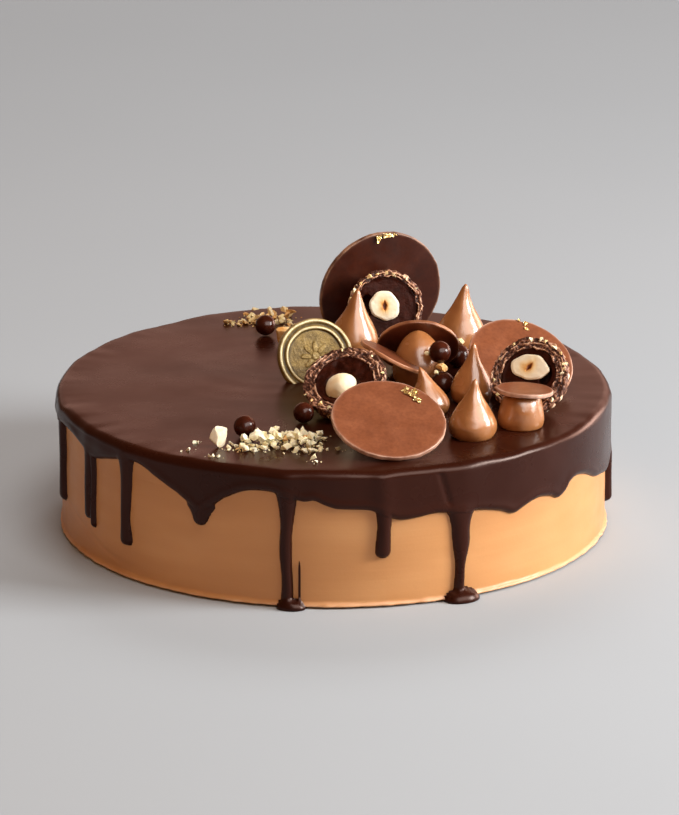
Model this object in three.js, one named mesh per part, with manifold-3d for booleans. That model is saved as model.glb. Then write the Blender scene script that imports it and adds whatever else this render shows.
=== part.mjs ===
// A round chocolate truffle cake: a frosted body under a poured ganache glaze with a dripping skirt.
// On top lie halved hazelnut truffles, piped ganache kisses, thin chocolate discs, a gilded chocolate
// coin, chocolate balls and chopped nuts.
// Millimetres. The origin is the middle of the cake's foot, +Z up, the dressed front towards -Y.

import * as THREE from 'three';
import { mergeVertices } from 'three/addons/utils/BufferGeometryUtils.js';
import Module from 'manifold-3d';

const wasm = await Module();
wasm.setup();

// ---------------------------------------------------------------- driving dimensions
const GAP = 0.3; // between pieces that touch
const RING_STEPS = 90; // facets round the glaze
const BODY_STEPS = 60; // facets round the body
const DISC_STEPS = 26; // facets round a disc

const BODY = { radius: 103.4, height: 50.3, rim: 3.6, footRadius: 104.2, footHeight: 1.5 };
const GLAZE = { radius: 105, top: 52.9, rim: 3, lip: 0.9, closingHeight: 38 };
const SEAT = GLAZE.top + GAP; // where a topping's underside lies

// Lower edge of the glaze's skirt: [angle from the front in degrees, height].
const SKIRT_EDGE = [
  [-82, 45], [-68, 46], [-58.5, 41.8], [-54.5, 43.6], [-43.8, 46.6], [-39.4, 43.8], [-33, 38.4],
  [-24.2, 38], [-18.3, 43.8], [-13.5, 44.4], [-5.6, 42], [0.2, 38.6], [7.8, 37.2], [13, 33.6],
  [20.9, 34.6], [31, 33], [36.6, 30.8], [39.5, 28.8], [42.7, 30.3], [47.6, 31.8], [53.2, 28.8],
  [59.5, 33.8], [62.8, 33.1], [66.2, 31.1], [70.7, 27.8], [79.7, 24.5], [86, 26], [97, 30],
  [108, 34], [118, 30], [131, 36], [143, 33], [156, 38.5], [168, 34.5], [180, 40], [193, 36.5],
  [206, 42], [219, 37], [231, 43], [244, 39.5], [256, 44], [266, 41],
];

// Drips: angle in degrees, height of the tip, width, how far the drip stands out, share that the
// tip's drop is wider, and how much wider the drip is where it leaves the skirt.
const DRIPS = [
  { angle: -77.6, tip: 14.7, width: 6, depth: 2.2, drop: 0.1, root: 0.6 },
  { angle: -60.9, tip: 16.8, width: 4.8, depth: 2.1, drop: 0.1, root: 0.5 },
  { angle: -59.2, tip: 14.3, width: 2.4, depth: 1.5, drop: 0, root: 0.2 },
  { angle: -47.4, tip: 13.3, width: 4.8, depth: 2.2, drop: 0.3, root: 1 },
  { angle: -28, tip: 28.7, width: 5, depth: 2, drop: 0, root: 1.6 },
  { angle: -9.5, tip: 1, width: 4.6, depth: 2.2, drop: 0, root: 1.1 },
  { angle: 10.2, tip: 19, width: 5.6, depth: 2.3, drop: 0, root: 0.2 },
  { angle: 26.9, tip: 1, width: 5.6, depth: 2.6, drop: 0, root: 0.9 },
  { angle: 88.2, tip: 7.9, width: 4.4, depth: 2.6, drop: 0.1, root: 0.4 },
  { angle: 104, tip: 17, width: 5.4, depth: 2.1, drop: 0.2, root: 0.8 },
  { angle: 122, tip: 8, width: 5, depth: 2.2, drop: 0.25, root: 0.7 },
  { angle: 141, tip: 21, width: 5.8, depth: 2, drop: 0.1, root: 1.2 },
  { angle: 164, tip: 13, width: 5, depth: 2.2, drop: 0.25, root: 0.8 },
  { angle: 187, tip: 24, width: 6.2, depth: 2, drop: 0, root: 1.6 },
  { angle: 208, tip: 12, width: 4.8, depth: 2.2, drop: 0.2, root: 0.8 },
  { angle: 228, tip: 19, width: 5, depth: 2.1, drop: 0.15, root: 0.9 },
  { angle: 252, tip: 10, width: 4.6, depth: 2.2, drop: 0.25, root: 0.7 },
];

// Small pools where two drips reach the foot.
const POOLS = [
  { angle: -8.5, halfWidth: 5.6, reach: 3.6, height: 4 },
  { angle: 26.8, halfWidth: 7.2, reach: 5.4, height: 4.4 },
];

// Halved truffles: centre, radius, direction in which the cut faces, inner radius of the crust,
// where the nut lies on the cut [right, up, out], its radii, where the hollow beside it lies
// [right, up] and whether the nut is cut too.
const TRUFFLES = {
  truffle_back: {
    centre: [20.4, 56.5, 66.6], radius: 14.5, facing: [0.1, -0.95, 0.3], inside: 12,
    nut: [-0.6, 0.5, -1], nutRadii: [5.8, 5.8], hollow: [-5.4, -0.2], nutCut: true,
  },
  truffle_left: {
    centre: [4, -38.1, 67], radius: 15.7, facing: [-0.2, -0.548, 0.808], inside: 11,
    nut: [-0.8, -2, -3], nutRadii: [5.8, 5.2], hollow: [0, 0], nutCut: false,
  },
  truffle_right: {
    centre: [72.7, -35.2, 68], radius: 15.1, facing: [-0.34, -0.74, 0.58], inside: 10.6,
    nut: [-0.5, 3.2, -1], nutRadii: [7, 5.2], hollow: [5, -2.4], nutCut: true,
  },
};
const CRUST_RELIEF = 0.7; // depth of its crags

// Thin chocolate discs: centre, radius, thickness, direction in which the shown face points.
const DISCS = {
  disc_back: { centre: [18.1, 73, 67.8], radius: 25.1, thickness: 1.9, facing: [0.36, -0.92, -0.12] },
  disc_front: { centre: [20.3, -73.5, 62.6], radius: 21.2, thickness: 1.8, facing: [0.12, -0.39, 0.91] },
  disc_right: { centre: [70.8, -5, 64.2], radius: 20.4, thickness: 1.5, facing: [0.245, -0.475, 0.845] },
  disc_bridge: { centre: [32.2, 12.3, 64.5], radius: 15.6, thickness: 1.5, facing: [0, 0.808, 0.589] },
  disc_lean: { centre: [21.6, -8, 66.7], radius: 12.6, thickness: 1.6, facing: [0.451, 0.158, 0.879] },
  disc_lid: { centre: [71, -48.2, 66.1], radius: 10.6, thickness: 1.6, facing: [0.054, 0.083, 0.995] },
};
const MILK_DISCS = ['disc_front', 'disc_right', 'disc_lid'];

const COIN = { centre: [-6.9, 8.45, 61.6], radius: 14.7, thickness: 3, facing: [0.17, -0.9, 0.41] };

// Kisses of piped ganache: foot [x, y], radius, height, how far the tip leans [x, y], profile, and
// the pieces that are pressed into them.
const KISSES = {
  kiss_front: { foot: [51.4, -61.9], radius: 9, height: 21.6, lean: [0.8, 0] },
  kiss_centre: {
    foot: [52.1, -19.6], radius: 8.1, height: 22.3, lean: [0.6, 0], pressedBy: ['disc_right'],
  },
  kiss_back: { foot: [48.9, 42], radius: 10.4, height: 27, lean: [1.7, 0] },
  kiss_left: { foot: [7.6, 42], radius: 9.6, height: 25, lean: [1.6, 0], pressedBy: ['truffle_back'] },
  kiss_small: { foot: [36, -33.3], radius: 7.6, height: 17.2, lean: [-3.6, 0] },
  kiss_lid: {
    foot: [69.7, -49.2], radius: 8.8, height: 12.1, profile: 'flat',
    pressedBy: ['truffle_right', 'disc_lid'],
  },
  kiss_under: {
    foot: [32.3, 2], radius: 10, height: 20.6, profile: 'dome', pressedBy: ['disc_bridge', 'disc_lean'],
  },
  kiss_prop_front: {
    foot: [21.5, -59], radius: 8.5, height: 12.6, profile: 'flat', pressedBy: ['disc_front'],
  },
  kiss_prop_right: {
    foot: [63.5, 3], radius: 8, height: 16, profile: 'dome', pressedBy: ['disc_right'],
  },
};
// Shares of the height and radius along a kiss, from its foot to its tip.
const KISS_PROFILES = {
  pointed: [
    [0, 0.84], [0.08, 0.95], [0.22, 1], [0.36, 0.87], [0.5, 0.67], [0.64, 0.45], [0.79, 0.27],
    [0.92, 0.13],
  ],
  dome: [[0, 0.84], [0.1, 0.95], [0.26, 1], [0.45, 0.95], [0.62, 0.83], [0.78, 0.65], [0.91, 0.42]],
  flat: [[0, 0.93], [0.14, 1], [0.34, 0.99], [0.58, 0.93], [0.8, 0.84], [0.94, 0.74], [1, 0.6]],
};

// Chocolate balls: place [x, y], radius, and the height of the centre where one lies on others.
const BALLS = {
  ball_front: { place: [-32.7, -63.2], radius: 4.1 },
  ball_truffle: { place: [-11, -46.1], radius: 3.9 },
  ball_back: { place: [-26.6, 64], radius: 4 },
  ball_low: { place: [41.1, -11.8], radius: 4.4 },
  ball_top: { place: [40.1, -9], radius: 4.2, height: 68.8 },
  ball_dark: { place: [47.8, 22.4], radius: 4.5 },
};

// Larger pieces of nut: centre, size along X, Y and Z, turn about Z in degrees.
const NUT_CHUNKS = {
  nut_front: { centre: [-42.4, -75, 56.4], size: [7.6, 6.2, 7], turn: 20 },
  nut_coin: { centre: [-19.4, 53.5, 56], size: [8.4, 6, 5.6], turn: 35 },
  nut_middle: { centre: [40.8, -11, 63.4], size: [7, 4.2, 2.2], turn: 10 },
  nut_perched: { centre: [48.3, 21, 64], size: [4.4, 4, 3.8], turn: 0 },
};

// Chopped nuts stuck to the glaze: middle [x, y], spread [x, y], number of pieces, size of a piece.
const CRUMB_HEAPS = [
  { middle: [-53.6, -79.4], spread: [0, 0], count: 1, size: 4 },
  { middle: [-50.6, -70.1], spread: [0, 0], count: 1, size: 2.4 },
  { middle: [-44, -87], spread: [2, 0.6], count: 2, size: 2.6 },
  { middle: [-36.1, -76.2], spread: [2.4, 5], count: 3, size: 3.2 },
  { middle: [-25.6, -74.2], spread: [6.6, 7], count: 10, size: 4.4 },
  { middle: [-14.9, -73.4], spread: [6, 8.5], count: 9, size: 4.4 },
  { middle: [-5.2, -72.4], spread: [3.6, 8], count: 4, size: 3.8 },
  { middle: [-7, -93.6], spread: [0.8, 0.8], count: 1, size: 3.6 },
  { middle: [-1.5, -78.6], spread: [1, 1], count: 1, size: 3 },
  { middle: [1.8, -79], spread: [0, 0], count: 1, size: 2.4 },
  { middle: [-36.7, 79.7], spread: [5, 3], count: 3, size: 3.4 },
  { middle: [-24.8, 82.4], spread: [8, 8], count: 9, size: 4.2 },
  { middle: [-16, 70.6], spread: [2.4, 4], count: 3, size: 3.8 },
];
const CRUMB_SINK = 0.28; // share of a piece's height that sits in the glaze
const CRUMB_ROOM = 0.92; // least distance between two, as a share of their mean width

const COLOURS = {
  frosting: [0xc08a58, 0.55, 0], ganache: [0x2e140c, 0.2, 0], kiss: [0xa06a44, 0.35, 0],
  darkChocolate: [0x40190c, 0.35, 0], milkChocolate: [0x8a5133, 0.4, 0], crust: [0x8a5a3c, 0.7, 0],
  cream: [0x2a0d07, 0.3, 0], hazelnut: [0xf3deb4, 0.5, 0], gilding: [0xa8904c, 0.35, 0.7],
};

// ---------------------------------------------------------------- helpers
const AXIS = new THREE.Vector3(0, 0, 1);
const cake = new THREE.Group();

let seed = 20;
function random() {
  seed = (seed * 1103515245 + 12345) % 2147483648;
  return seed / 2147483648;
}

function signedVolume(points, triangles) {
  const [a, b, c] = [new THREE.Vector3(), new THREE.Vector3(), new THREE.Vector3()];
  let volume = 0;
  for (let i = 0; i < triangles.length; i += 3) {
    a.fromArray(points, triangles[i] * 3);
    b.fromArray(points, triangles[i + 1] * 3);
    c.fromArray(points, triangles[i + 2] * 3);
    volume += a.dot(b.cross(c)) / 6;
  }
  return volume;
}

// The geometry with each point kept once.
function welded(geometry) {
  const bare = geometry.clone();
  bare.deleteAttribute('normal');
  bare.deleteAttribute('uv');
  return mergeVertices(bare, 1e-3);
}

// A closed three.js geometry as a solid that can be joined and cut.
function solid(geometry) {
  const merged = welded(geometry);
  const points = merged.attributes.position.array;
  const index = merged.index.array;
  const triangles = [];
  for (let i = 0; i < index.length; i += 3) {
    const [a, b, c] = [index[i], index[i + 1], index[i + 2]];
    if (a !== b && b !== c && c !== a) {
      triangles.push(a, b, c);
    }
  }
  if (signedVolume(points, triangles) < 0) {
    triangles.reverse();
  }
  const vertProperties = new Float32Array(points);
  const triVerts = new Uint32Array(triangles);
  return new wasm.Manifold(new wasm.Mesh({ numProp: 3, vertProperties, triVerts }));
}

function geometryOf(body) {
  const { vertProperties, triVerts } = body.getMesh();
  const geometry = new THREE.BufferGeometry();
  geometry.setAttribute('position', new THREE.BufferAttribute(vertProperties, 3));
  geometry.setIndex(new THREE.BufferAttribute(triVerts, 1));
  geometry.computeVertexNormals();
  return geometry;
}

// Local +Z runs along the facing; local +X stays level, so +Y is the way up on the shown face.
function placement({ centre = [0, 0, 0], facing = [0, 0, 1] }) {
  const out = new THREE.Vector3(...facing).normalize();
  const right = new THREE.Vector3().crossVectors(AXIS, out);
  if (right.length() < 0.1) {
    right.set(1, 0, 0);
  }
  right.addScaledVector(out, -right.dot(out)).normalize();
  const up = new THREE.Vector3().crossVectors(out, right);
  return new THREE.Matrix4().makeBasis(right, up, out).setPosition(...centre);
}

// Adds one named piece. Its body is built about its own centre and facing.
function addPiece(name, body, [color, roughness, metalness], place = {}) {
  const material = new THREE.MeshStandardMaterial({ color, roughness, metalness });
  const mesh = new THREE.Mesh(geometryOf(body), material);
  mesh.name = name;
  mesh.applyMatrix4(placement(place));
  cake.add(mesh);
}

// A turned solid about local +Z from [radius, height] points.
function turned(points, steps) {
  const profile = points.map(([radius, height]) => new THREE.Vector2(radius, height));
  return new THREE.LatheGeometry(profile, steps).rotateX(Math.PI / 2);
}

function arcPoints(radius, height, reach, from, to, count) {
  const points = [];
  for (let i = 0; i <= count; i += 1) {
    const angle = THREE.MathUtils.degToRad(from + ((to - from) * i) / count);
    points.push([radius + reach * Math.cos(angle), height + reach * Math.sin(angle)]);
  }
  return points;
}

function moveVertices(geometry, move) {
  const positions = geometry.attributes.position;
  const point = new THREE.Vector3();
  for (let i = 0; i < positions.count; i += 1) {
    point.fromBufferAttribute(positions, i);
    move(point, i);
    positions.setXYZ(i, point.x, point.y, point.z);
  }
  return geometry;
}

// What lies under the glaze's surface, in the frame of a placed piece.
function belowGlaze(place) {
  const size = 400;
  const block = new THREE.BoxGeometry(size, size, size).translate(0, 0, SEAT - size / 2);
  return solid(block.applyMatrix4(placement(place).invert()));
}

// ---------------------------------------------------------------- cake body and glaze
function bodyProfile(grow) {
  const { radius, height, rim, footRadius, footHeight } = BODY;
  return [
    [0, 0],
    [footRadius - 0.8 + grow, 0],
    [footRadius + grow, 0.4],
    [footRadius + grow, footHeight - 0.5 + grow],
    [radius + 0.3 + grow, footHeight + grow],
    [radius + grow, footHeight + 1 + grow],
    ...arcPoints(radius - rim, height - rim, rim + grow, 0, 90, 3),
    [0, height + grow],
  ];
}

// Smooth height of the skirt's edge at an angle in degrees.
function skirtEdge(angle) {
  const first = SKIRT_EDGE[0][0];
  const turn = first + ((((angle - first) % 360) + 360) % 360);
  const next = SKIRT_EDGE.findIndex(([at]) => at > turn);
  const [a, b] = next < 0 ? [SKIRT_EDGE.at(-1), [first + 360, SKIRT_EDGE[0][1]]]
    : [SKIRT_EDGE[next - 1], SKIRT_EDGE[next]];
  const share = THREE.MathUtils.smoothstep(turn, a[0], b[0]);
  return THREE.MathUtils.lerp(a[1], b[1], share);
}

// Angle from the front of a point, in degrees, growing to the right.
function angleOf(point) {
  return THREE.MathUtils.radToDeg(Math.atan2(point.x, -point.y));
}

function glazeCoat() {
  const { radius, top, rim, lip, closingHeight } = GLAZE;
  const rimFoot = top - rim;
  const profile = [
    [0, top],
    [88, top],
    ...arcPoints(radius - rim, rimFoot, rim, 90, 0, 3),
    [radius, rimFoot - 1],
    [radius - 0.1, rimFoot - 2],
    [radius - 0.6, rimFoot - 3],
    [radius - 3, rimFoot - 3],
    [0, closingHeight],
  ];
  // The rows under the rim are drawn down to the skirt's edge.
  return moveVertices(turned(profile, RING_STEPS), (point) => {
    const below = rimFoot - point.z;
    if (Math.hypot(point.x, point.y) > 1 && below > 0.5) {
      const edge = skirtEdge(angleOf(point));
      point.z = below < 1.5 ? (rimFoot + edge) / 2 : edge + (below < 2.5 ? lip : 0);
    }
  });
}

// A drip is a capsule laid on the cake's side, wider where it leaves the skirt and at its drop.
function drip({ angle, tip, width, depth, drop, root }) {
  const start = skirtEdge(angle) + 3;
  const half = width / 2;
  const length = start - tip;
  const capsule = new THREE.CapsuleGeometry(1, length / half - 2, 2, 8, 2).rotateX(Math.PI / 2);
  const toRadians = THREE.MathUtils.degToRad(angle);
  return moveVertices(capsule.scale(half, 1, half), (point) => {
    const height = tip + length / 2 + point.z;
    const fromTip = (height - tip) / length;
    const rootShare = THREE.MathUtils.smoothstep(fromTip, 0.55, 1) * root;
    const dropShare = drop * Math.exp(-(((height - tip - half) / (half * 1.3)) ** 2));
    const across = point.x * (1 + rootShare + dropShare);
    const out = BODY.radius + Math.max(0, -point.y) * (depth + dropShare) - Math.max(0, point.y);
    const turn = toRadians + across / BODY.radius;
    point.set(out * Math.sin(turn), -out * Math.cos(turn), height);
  });
}

function pool({ angle, halfWidth, reach, height }) {
  const drop = new THREE.SphereGeometry(1, 12, 8).rotateX(Math.PI / 2);
  const turn = THREE.MathUtils.degToRad(angle);
  moveVertices(drop, (point) => {
    point.set(point.x * halfWidth, point.y * reach, Math.max(0.15, point.z * height));
  });
  return drop.translate(0, -BODY.footRadius, 0).rotateZ(turn);
}

// A chopped piece of nut: an uneven lump with few faces.
function nutLump(size) {
  const turn = new THREE.Euler(random() * 6, random() * 6, random() * 6);
  return moveVertices(welded(new THREE.IcosahedronGeometry(1, 0)), (point) => {
    point.multiplyScalar(0.8 + 0.4 * random());
    point.applyEuler(turn);
    point.set(point.x * size[0] / 2, point.y * size[1] / 2, point.z * size[2] / 2);
  });
}

function crumbs() {
  const placed = [];
  let joined = null;
  for (const { middle, spread, count, size } of CRUMB_HEAPS) {
    for (let i = 0; i < count; i += 1) {
      const width = size * (0.75 + 0.45 * random());
      const height = width * (0.6 + 0.3 * random());
      const lump = nutLump([width, width * (0.75 + 0.25 * random()), height]);
      for (let tries = 0; tries < 40; tries += 1) {
        const x = middle[0] + spread[0] * (2 * random() - 1);
        const y = middle[1] + spread[1] * (2 * random() - 1);
        const free = placed.every((other) => (
          Math.hypot(other.x - x, other.y - y) > (CRUMB_ROOM * (other.width + width)) / 2
        ));
        if (free) {
          placed.push({ x, y, width });
          const piece = solid(lump.translate(x, y, GLAZE.top + height * (0.5 - CRUMB_SINK)));
          joined = joined ? joined.add(piece) : piece;
          break;
        }
      }
    }
  }
  return joined;
}

addPiece('cake_body', solid(turned(bodyProfile(0), BODY_STEPS)), COLOURS.frosting);

function buildGlaze() {
  let glaze = solid(glazeCoat());
  for (const one of DRIPS) {
    glaze = glaze.add(solid(drip(one)));
  }
  for (const one of POOLS) {
    glaze = glaze.add(solid(pool(one)));
  }
  return glaze.subtract(solid(turned(bodyProfile(GAP), BODY_STEPS))).add(crumbs());
}
addPiece('ganache_glaze', buildGlaze(), COLOURS.ganache);

// ---------------------------------------------------------------- truffles
// Half a ball about local +Z, its flat side up.
function halfBall(radius, steps) {
  const outside = arcPoints(0, 0, radius, -90, 0, 5);
  outside[0][0] = 0;
  return turned([...outside, [0, 0]], steps);
}

function addTruffle(name, truffle) {
  const { radius, inside, nut, nutRadii, hollow, nutCut } = truffle;
  const steps = 16;
  const crags = moveVertices(welded(halfBall(radius, steps)), (point) => {
    if (point.length() > radius - 0.1 && point.z < -1) {
      point.multiplyScalar(1 - (CRUST_RELIEF * random()) / radius);
    }
  });
  const mouth = new THREE.CylinderGeometry(inside, inside, 4, steps).rotateX(Math.PI / 2);
  const bowl = solid(halfBall(inside, steps)).add(solid(mouth.translate(0, 0, 1.99)));
  const nutBall = (grow) => {
    const ball = new THREE.SphereGeometry(1, 12, 7);
    ball.scale(nutRadii[0] + grow, nutRadii[1] + grow, nutRadii[1] + grow);
    return ball.translate(...nut);
  };
  const crust = solid(crags).subtract(bowl).subtract(belowGlaze(truffle));
  let cream = solid(halfBall(inside - GAP - 0.1, steps).translate(0, 0, -0.4));
  cream = cream.subtract(solid(nutBall(GAP)));
  if (nutCut) {
    const dent = new THREE.SphereGeometry(4, 8, 6).translate(nut[0] + hollow[0], nut[1] + hollow[1], 0);
    cream = cream.subtract(solid(dent));
  }
  const above = new THREE.BoxGeometry(90, 90, 40).translate(0, 0, 20);
  const hazelnut = nutCut ? solid(nutBall(0)).subtract(solid(above)) : solid(nutBall(0));
  addPiece(`${name}_crust`, crust, COLOURS.crust, truffle);
  addPiece(`${name}_cream`, cream, COLOURS.cream, truffle);
  addPiece(`${name}_hazelnut`, hazelnut, COLOURS.hazelnut, truffle);
}

for (const [name, truffle] of Object.entries(TRUFFLES)) {
  addTruffle(name, truffle);
}

// ---------------------------------------------------------------- discs and coin
function discGeometry({ radius, thickness }, grow) {
  const half = thickness / 2 + grow;
  const outer = radius + grow;
  const profile = [
    [0, -half],
    [outer - 0.4, -half],
    [outer, -0.2],
    [outer, 0.2],
    [outer - 0.4, half],
    [0, half],
  ];
  return turned(profile, DISC_STEPS);
}

for (const [name, disc] of Object.entries(DISCS)) {
  const colour = MILK_DISCS.includes(name) ? COLOURS.milkChocolate : COLOURS.darkChocolate;
  addPiece(name, solid(discGeometry(disc, 0)).subtract(belowGlaze(disc)), colour, disc);
}

function coinGeometry({ radius, thickness }) {
  const half = thickness / 2;
  const field = half - 0.9;
  const profile = [
    [0, -half],
    [radius, -half],
    [radius - 0.7, half - 0.2],
    [radius - 1, half],
    [radius - 1.5, half],
    [radius - 1.9, half - 0.6],
    [radius - 3, half - 0.6],
    [radius - 3.4, half],
    [radius - 4.1, half],
    [radius - 4.5, field],
    [0, field],
  ];
  return turned(profile, DISC_STEPS);
}
addPiece('gilded_coin', solid(coinGeometry(COIN)).subtract(belowGlaze(COIN)), COLOURS.gilding, COIN);

// ---------------------------------------------------------------- kisses, balls and nuts
// The shape a placed disc or truffle leaves in a kiss, in the kiss's own frame.
function dent(name, foot) {
  const place = DISCS[name] ?? TRUFFLES[name];
  const shape = DISCS[name] ? discGeometry(place, GAP) : halfBall(place.radius + GAP, 16);
  return solid(shape.applyMatrix4(placement(place)).translate(-foot[0], -foot[1], -SEAT));
}

function kissBody({ foot, radius, height, lean = [0, 0], profile = 'pointed', pressedBy = [] }) {
  const side = KISS_PROFILES[profile].map(([up, out]) => [radius * out, height * up]);
  const shape = moveVertices(turned([[0, 0], ...side, [0, height]], 12), (point) => {
    const bend = (point.z / height) ** 2;
    point.x += lean[0] * bend;
    point.y += lean[1] * bend;
  });
  return pressedBy.reduce((body, name) => body.subtract(dent(name, foot)), solid(shape));
}

for (const [name, kiss] of Object.entries(KISSES)) {
  addPiece(name, kissBody(kiss), COLOURS.kiss, { centre: [...kiss.foot, SEAT] });
}

for (const [name, { place, radius, height = SEAT + radius }] of Object.entries(BALLS)) {
  const ball = new THREE.SphereGeometry(radius, 10, 6).rotateX(Math.PI / 2);
  addPiece(name, solid(ball), COLOURS.darkChocolate, { centre: [...place, height] });
}

for (const [name, chunk] of Object.entries(NUT_CHUNKS)) {
  const lump = nutLump(chunk.size).rotateZ(THREE.MathUtils.degToRad(chunk.turn));
  addPiece(name, solid(lump).subtract(belowGlaze(chunk)), COLOURS.hazelnut, { centre: chunk.centre });
}

export default cake;
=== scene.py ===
"""Looks of the chocolate truffle cake, in metres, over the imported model.

Sizes are in millimetres and repeat the named sizes of the part's source; those of the camera, the
lights and the materials' grain are in metres. Every shown piece is mesh made here from profiles and
seeded random draws, and stands for the plain solid of its name.
"""

import itertools
import math
import random

import bmesh
import bpy
import numpy as np
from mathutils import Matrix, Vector


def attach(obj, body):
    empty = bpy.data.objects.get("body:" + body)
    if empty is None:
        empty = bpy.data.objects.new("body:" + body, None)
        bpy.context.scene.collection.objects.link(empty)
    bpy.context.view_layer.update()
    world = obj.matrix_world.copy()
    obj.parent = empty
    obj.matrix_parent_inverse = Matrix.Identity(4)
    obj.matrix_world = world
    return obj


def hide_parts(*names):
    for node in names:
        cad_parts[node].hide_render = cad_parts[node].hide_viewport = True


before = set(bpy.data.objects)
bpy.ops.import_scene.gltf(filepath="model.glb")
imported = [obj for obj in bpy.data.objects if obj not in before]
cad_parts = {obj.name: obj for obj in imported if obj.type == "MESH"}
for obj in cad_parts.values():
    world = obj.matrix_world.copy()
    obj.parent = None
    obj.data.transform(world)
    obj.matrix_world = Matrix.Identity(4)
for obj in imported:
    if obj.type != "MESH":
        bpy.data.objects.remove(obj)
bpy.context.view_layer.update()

MM = 0.001

# ---- sizes shared with the solids
BODY_R = 103.4
BODY_H = 50.3
BODY_ROUNDING = 3.6
FOOT_R = 104.2
GLAZE_R = 105.0
GLAZE_TOP = 52.9
GLAZE_RIM = 3.0
GLAZE_INNER_TOP = 49.8
SKIRT_STAND = 1.62
# The height that the toppings stand on, and how deep the edges of discs and coin sink in there.
SEAT = 53.2
SUNK = 0.6

# The lower edge of the glaze's skirt: degrees round the cake from its front, and height.
SKIRT_EDGE = [
    (-82, 45), (-75.5, 46), (-68, 46), (-64, 44), (-58.6, 41.8), (-54.3, 43.6), (-48.5, 45.8),
    (-43.8, 46.6), (-39.4, 43.8), (-33.4, 39.2), (-30.6, 36.2), (-28, 33.8), (-25.5, 36.2),
    (-22.5, 40.2), (-18.1, 43.8), (-13.4, 44.4), (-10.6, 43.2), (-6, 41.2), (-3.8, 41.6), (-1.8, 40),
    (0.5, 38.6), (6.4, 38), (8.2, 37.1), (13, 33.6), (16.5, 33.6), (20.8, 34.6), (23.3, 34.2),
    (27.2, 33.7), (31.3, 33.1), (33.6, 32.3), (36.6, 30.9), (39.5, 28.9), (42.6, 30.5), (44.9, 31.6),
    (47.5, 31.9), (50.7, 30.7), (53, 28.9), (55.6, 30.3), (57.2, 32.8), (59.4, 33.9), (62.6, 33.2),
    (66.1, 31.2), (70.6, 27.8), (75.1, 26.2), (79.6, 24.6), (86, 26.2), (97, 30), (108, 34),
    (118, 30), (131, 36), (143, 33), (156, 38.5), (168, 34.5), (180, 40), (193, 36.5), (206, 42),
    (219, 37), (231, 43), (244, 39.5), (256, 44), (266, 41),
]

# Degrees, tip height, width, depth, extra width of the drop, flare at the skirt and how far it
# tapers down, rib up to the rim.
DRIPS = [
    (-77.6, 14.7, 5.2, 2.3, 0.12, 0.6, 3.4, 0.3),
    (-60.9, 16.8, 4.8, 2.2, 0.12, 0.5, 3.4, 0.3),
    (-59.2, 14.3, 2.4, 1.5, 0.0, 0.2, 3.4, 0.0),
    (-47.4, 13.3, 4.4, 2.4, 0.28, 1.0, 6.0, 0.4),
    (-28.0, 28.7, 4.2, 2.0, 0.0, 1.9, 3.4, 0.2),
    (-9.5, 1.0, 4.4, 2.3, 0.0, 0.95, 6.5, 0.7),
    (10.2, 19.0, 5.6, 2.4, 0.02, 0.15, 3.4, 0.8),
    (26.9, 1.0, 3.9, 2.7, 0.0, 1.0, 4.5, 0.9),
    (88.2, 7.9, 4.4, 2.6, 0.12, 0.5, 3.4, 0.3),
    (104, 17, 5.4, 2.2, 0.2, 0.8, 3.4, 0.4),
    (122, 8, 5.0, 2.3, 0.25, 0.7, 3.4, 0.4),
    (141, 21, 5.8, 2.1, 0.1, 1.2, 3.4, 0.4),
    (164, 13, 5.0, 2.3, 0.25, 0.8, 3.4, 0.4),
    (187, 24, 6.2, 2.1, 0.0, 1.6, 3.4, 0.4),
    (208, 12, 4.8, 2.3, 0.2, 0.8, 3.4, 0.4),
    (228, 19, 5.0, 2.2, 0.15, 0.9, 3.4, 0.4),
    (252, 10, 4.6, 2.3, 0.25, 0.7, 3.4, 0.4),
]
# The drip at this angle widens between two heights by this much a side, and swings left below.
WIDE_DRIP = (26.9, 12.0, 24.0, 1.4, 0.9)
# A thin trickle beside a drip: degrees, height where it starts, half width at the foot.
TRICKLE = (-6.8, 21.0, 0.7)
# Degrees, half width, reach, height.
POOLS = [(-8.5, 5.6, 3.6, 4.0), (26.8, 7.2, 5.4, 4.4)]

# facing is the cut's, and inside the cream's radius; nut is a place on the cut, turned by turn degrees,
# and hollow is how far the hollow is off it; pale is the share of pale bits in the crust.
TRUFFLES = {
    "truffle_back": dict(
        centre=(20.4, 56.5, 66.6), radius=14.5, facing=(0.1, -0.95, 0.3), inside=12.0,
        nut=(-0.6, 0.5, -1), nut_radii=(5.8, 5.8), turn=0, cut=True, hollow=(-6.6, 0.4),
        seed=3, pale=0.3,
    ),
    "truffle_left": dict(
        centre=(4.0, -38.1, 67.0), radius=15.7, facing=(-0.2, -0.548, 0.808), inside=11.0,
        nut=(-0.8, -2.0, -3), nut_radii=(5.8, 5.2), turn=40, cut=False,
        seed=5, pale=0.14,
    ),
    "truffle_right": dict(
        centre=(72.7, -35.2, 68.0), radius=15.1, facing=(-0.34, -0.74, 0.58), inside=10.6,
        nut=(-0.5, 3.2, -1), nut_radii=(7.0, 5.2), turn=-28, cut=True, hollow=(6.8, -2.2),
        seed=8, pale=0.22,
    ),
}

# Middle, radius, thickness, facing, kind of chocolate.
DISCS = {
    "disc_back": ((18.1, 73.0, 67.8), 25.1, 1.9, (0.36, -0.92, -0.12), "dark"),
    "disc_front": ((20.3, -73.5, 62.6), 21.2, 1.8, (0.12, -0.39, 0.91), "milk"),
    "disc_right": ((70.8, -5.0, 64.2), 20.4, 1.5, (0.245, -0.475, 0.845), "milk"),
    "disc_bridge": ((32.2, 12.3, 64.5), 15.6, 1.5, (0.0, 0.808, 0.589), "umber"),
    "disc_lean": ((21.6, -8.0, 66.7), 12.6, 1.6, (0.451, 0.158, 0.879), "umber"),
    "disc_lid": ((71.0, -48.2, 66.1), 10.6, 1.6, (0.054, 0.083, 0.995), "milk"),
}
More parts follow.
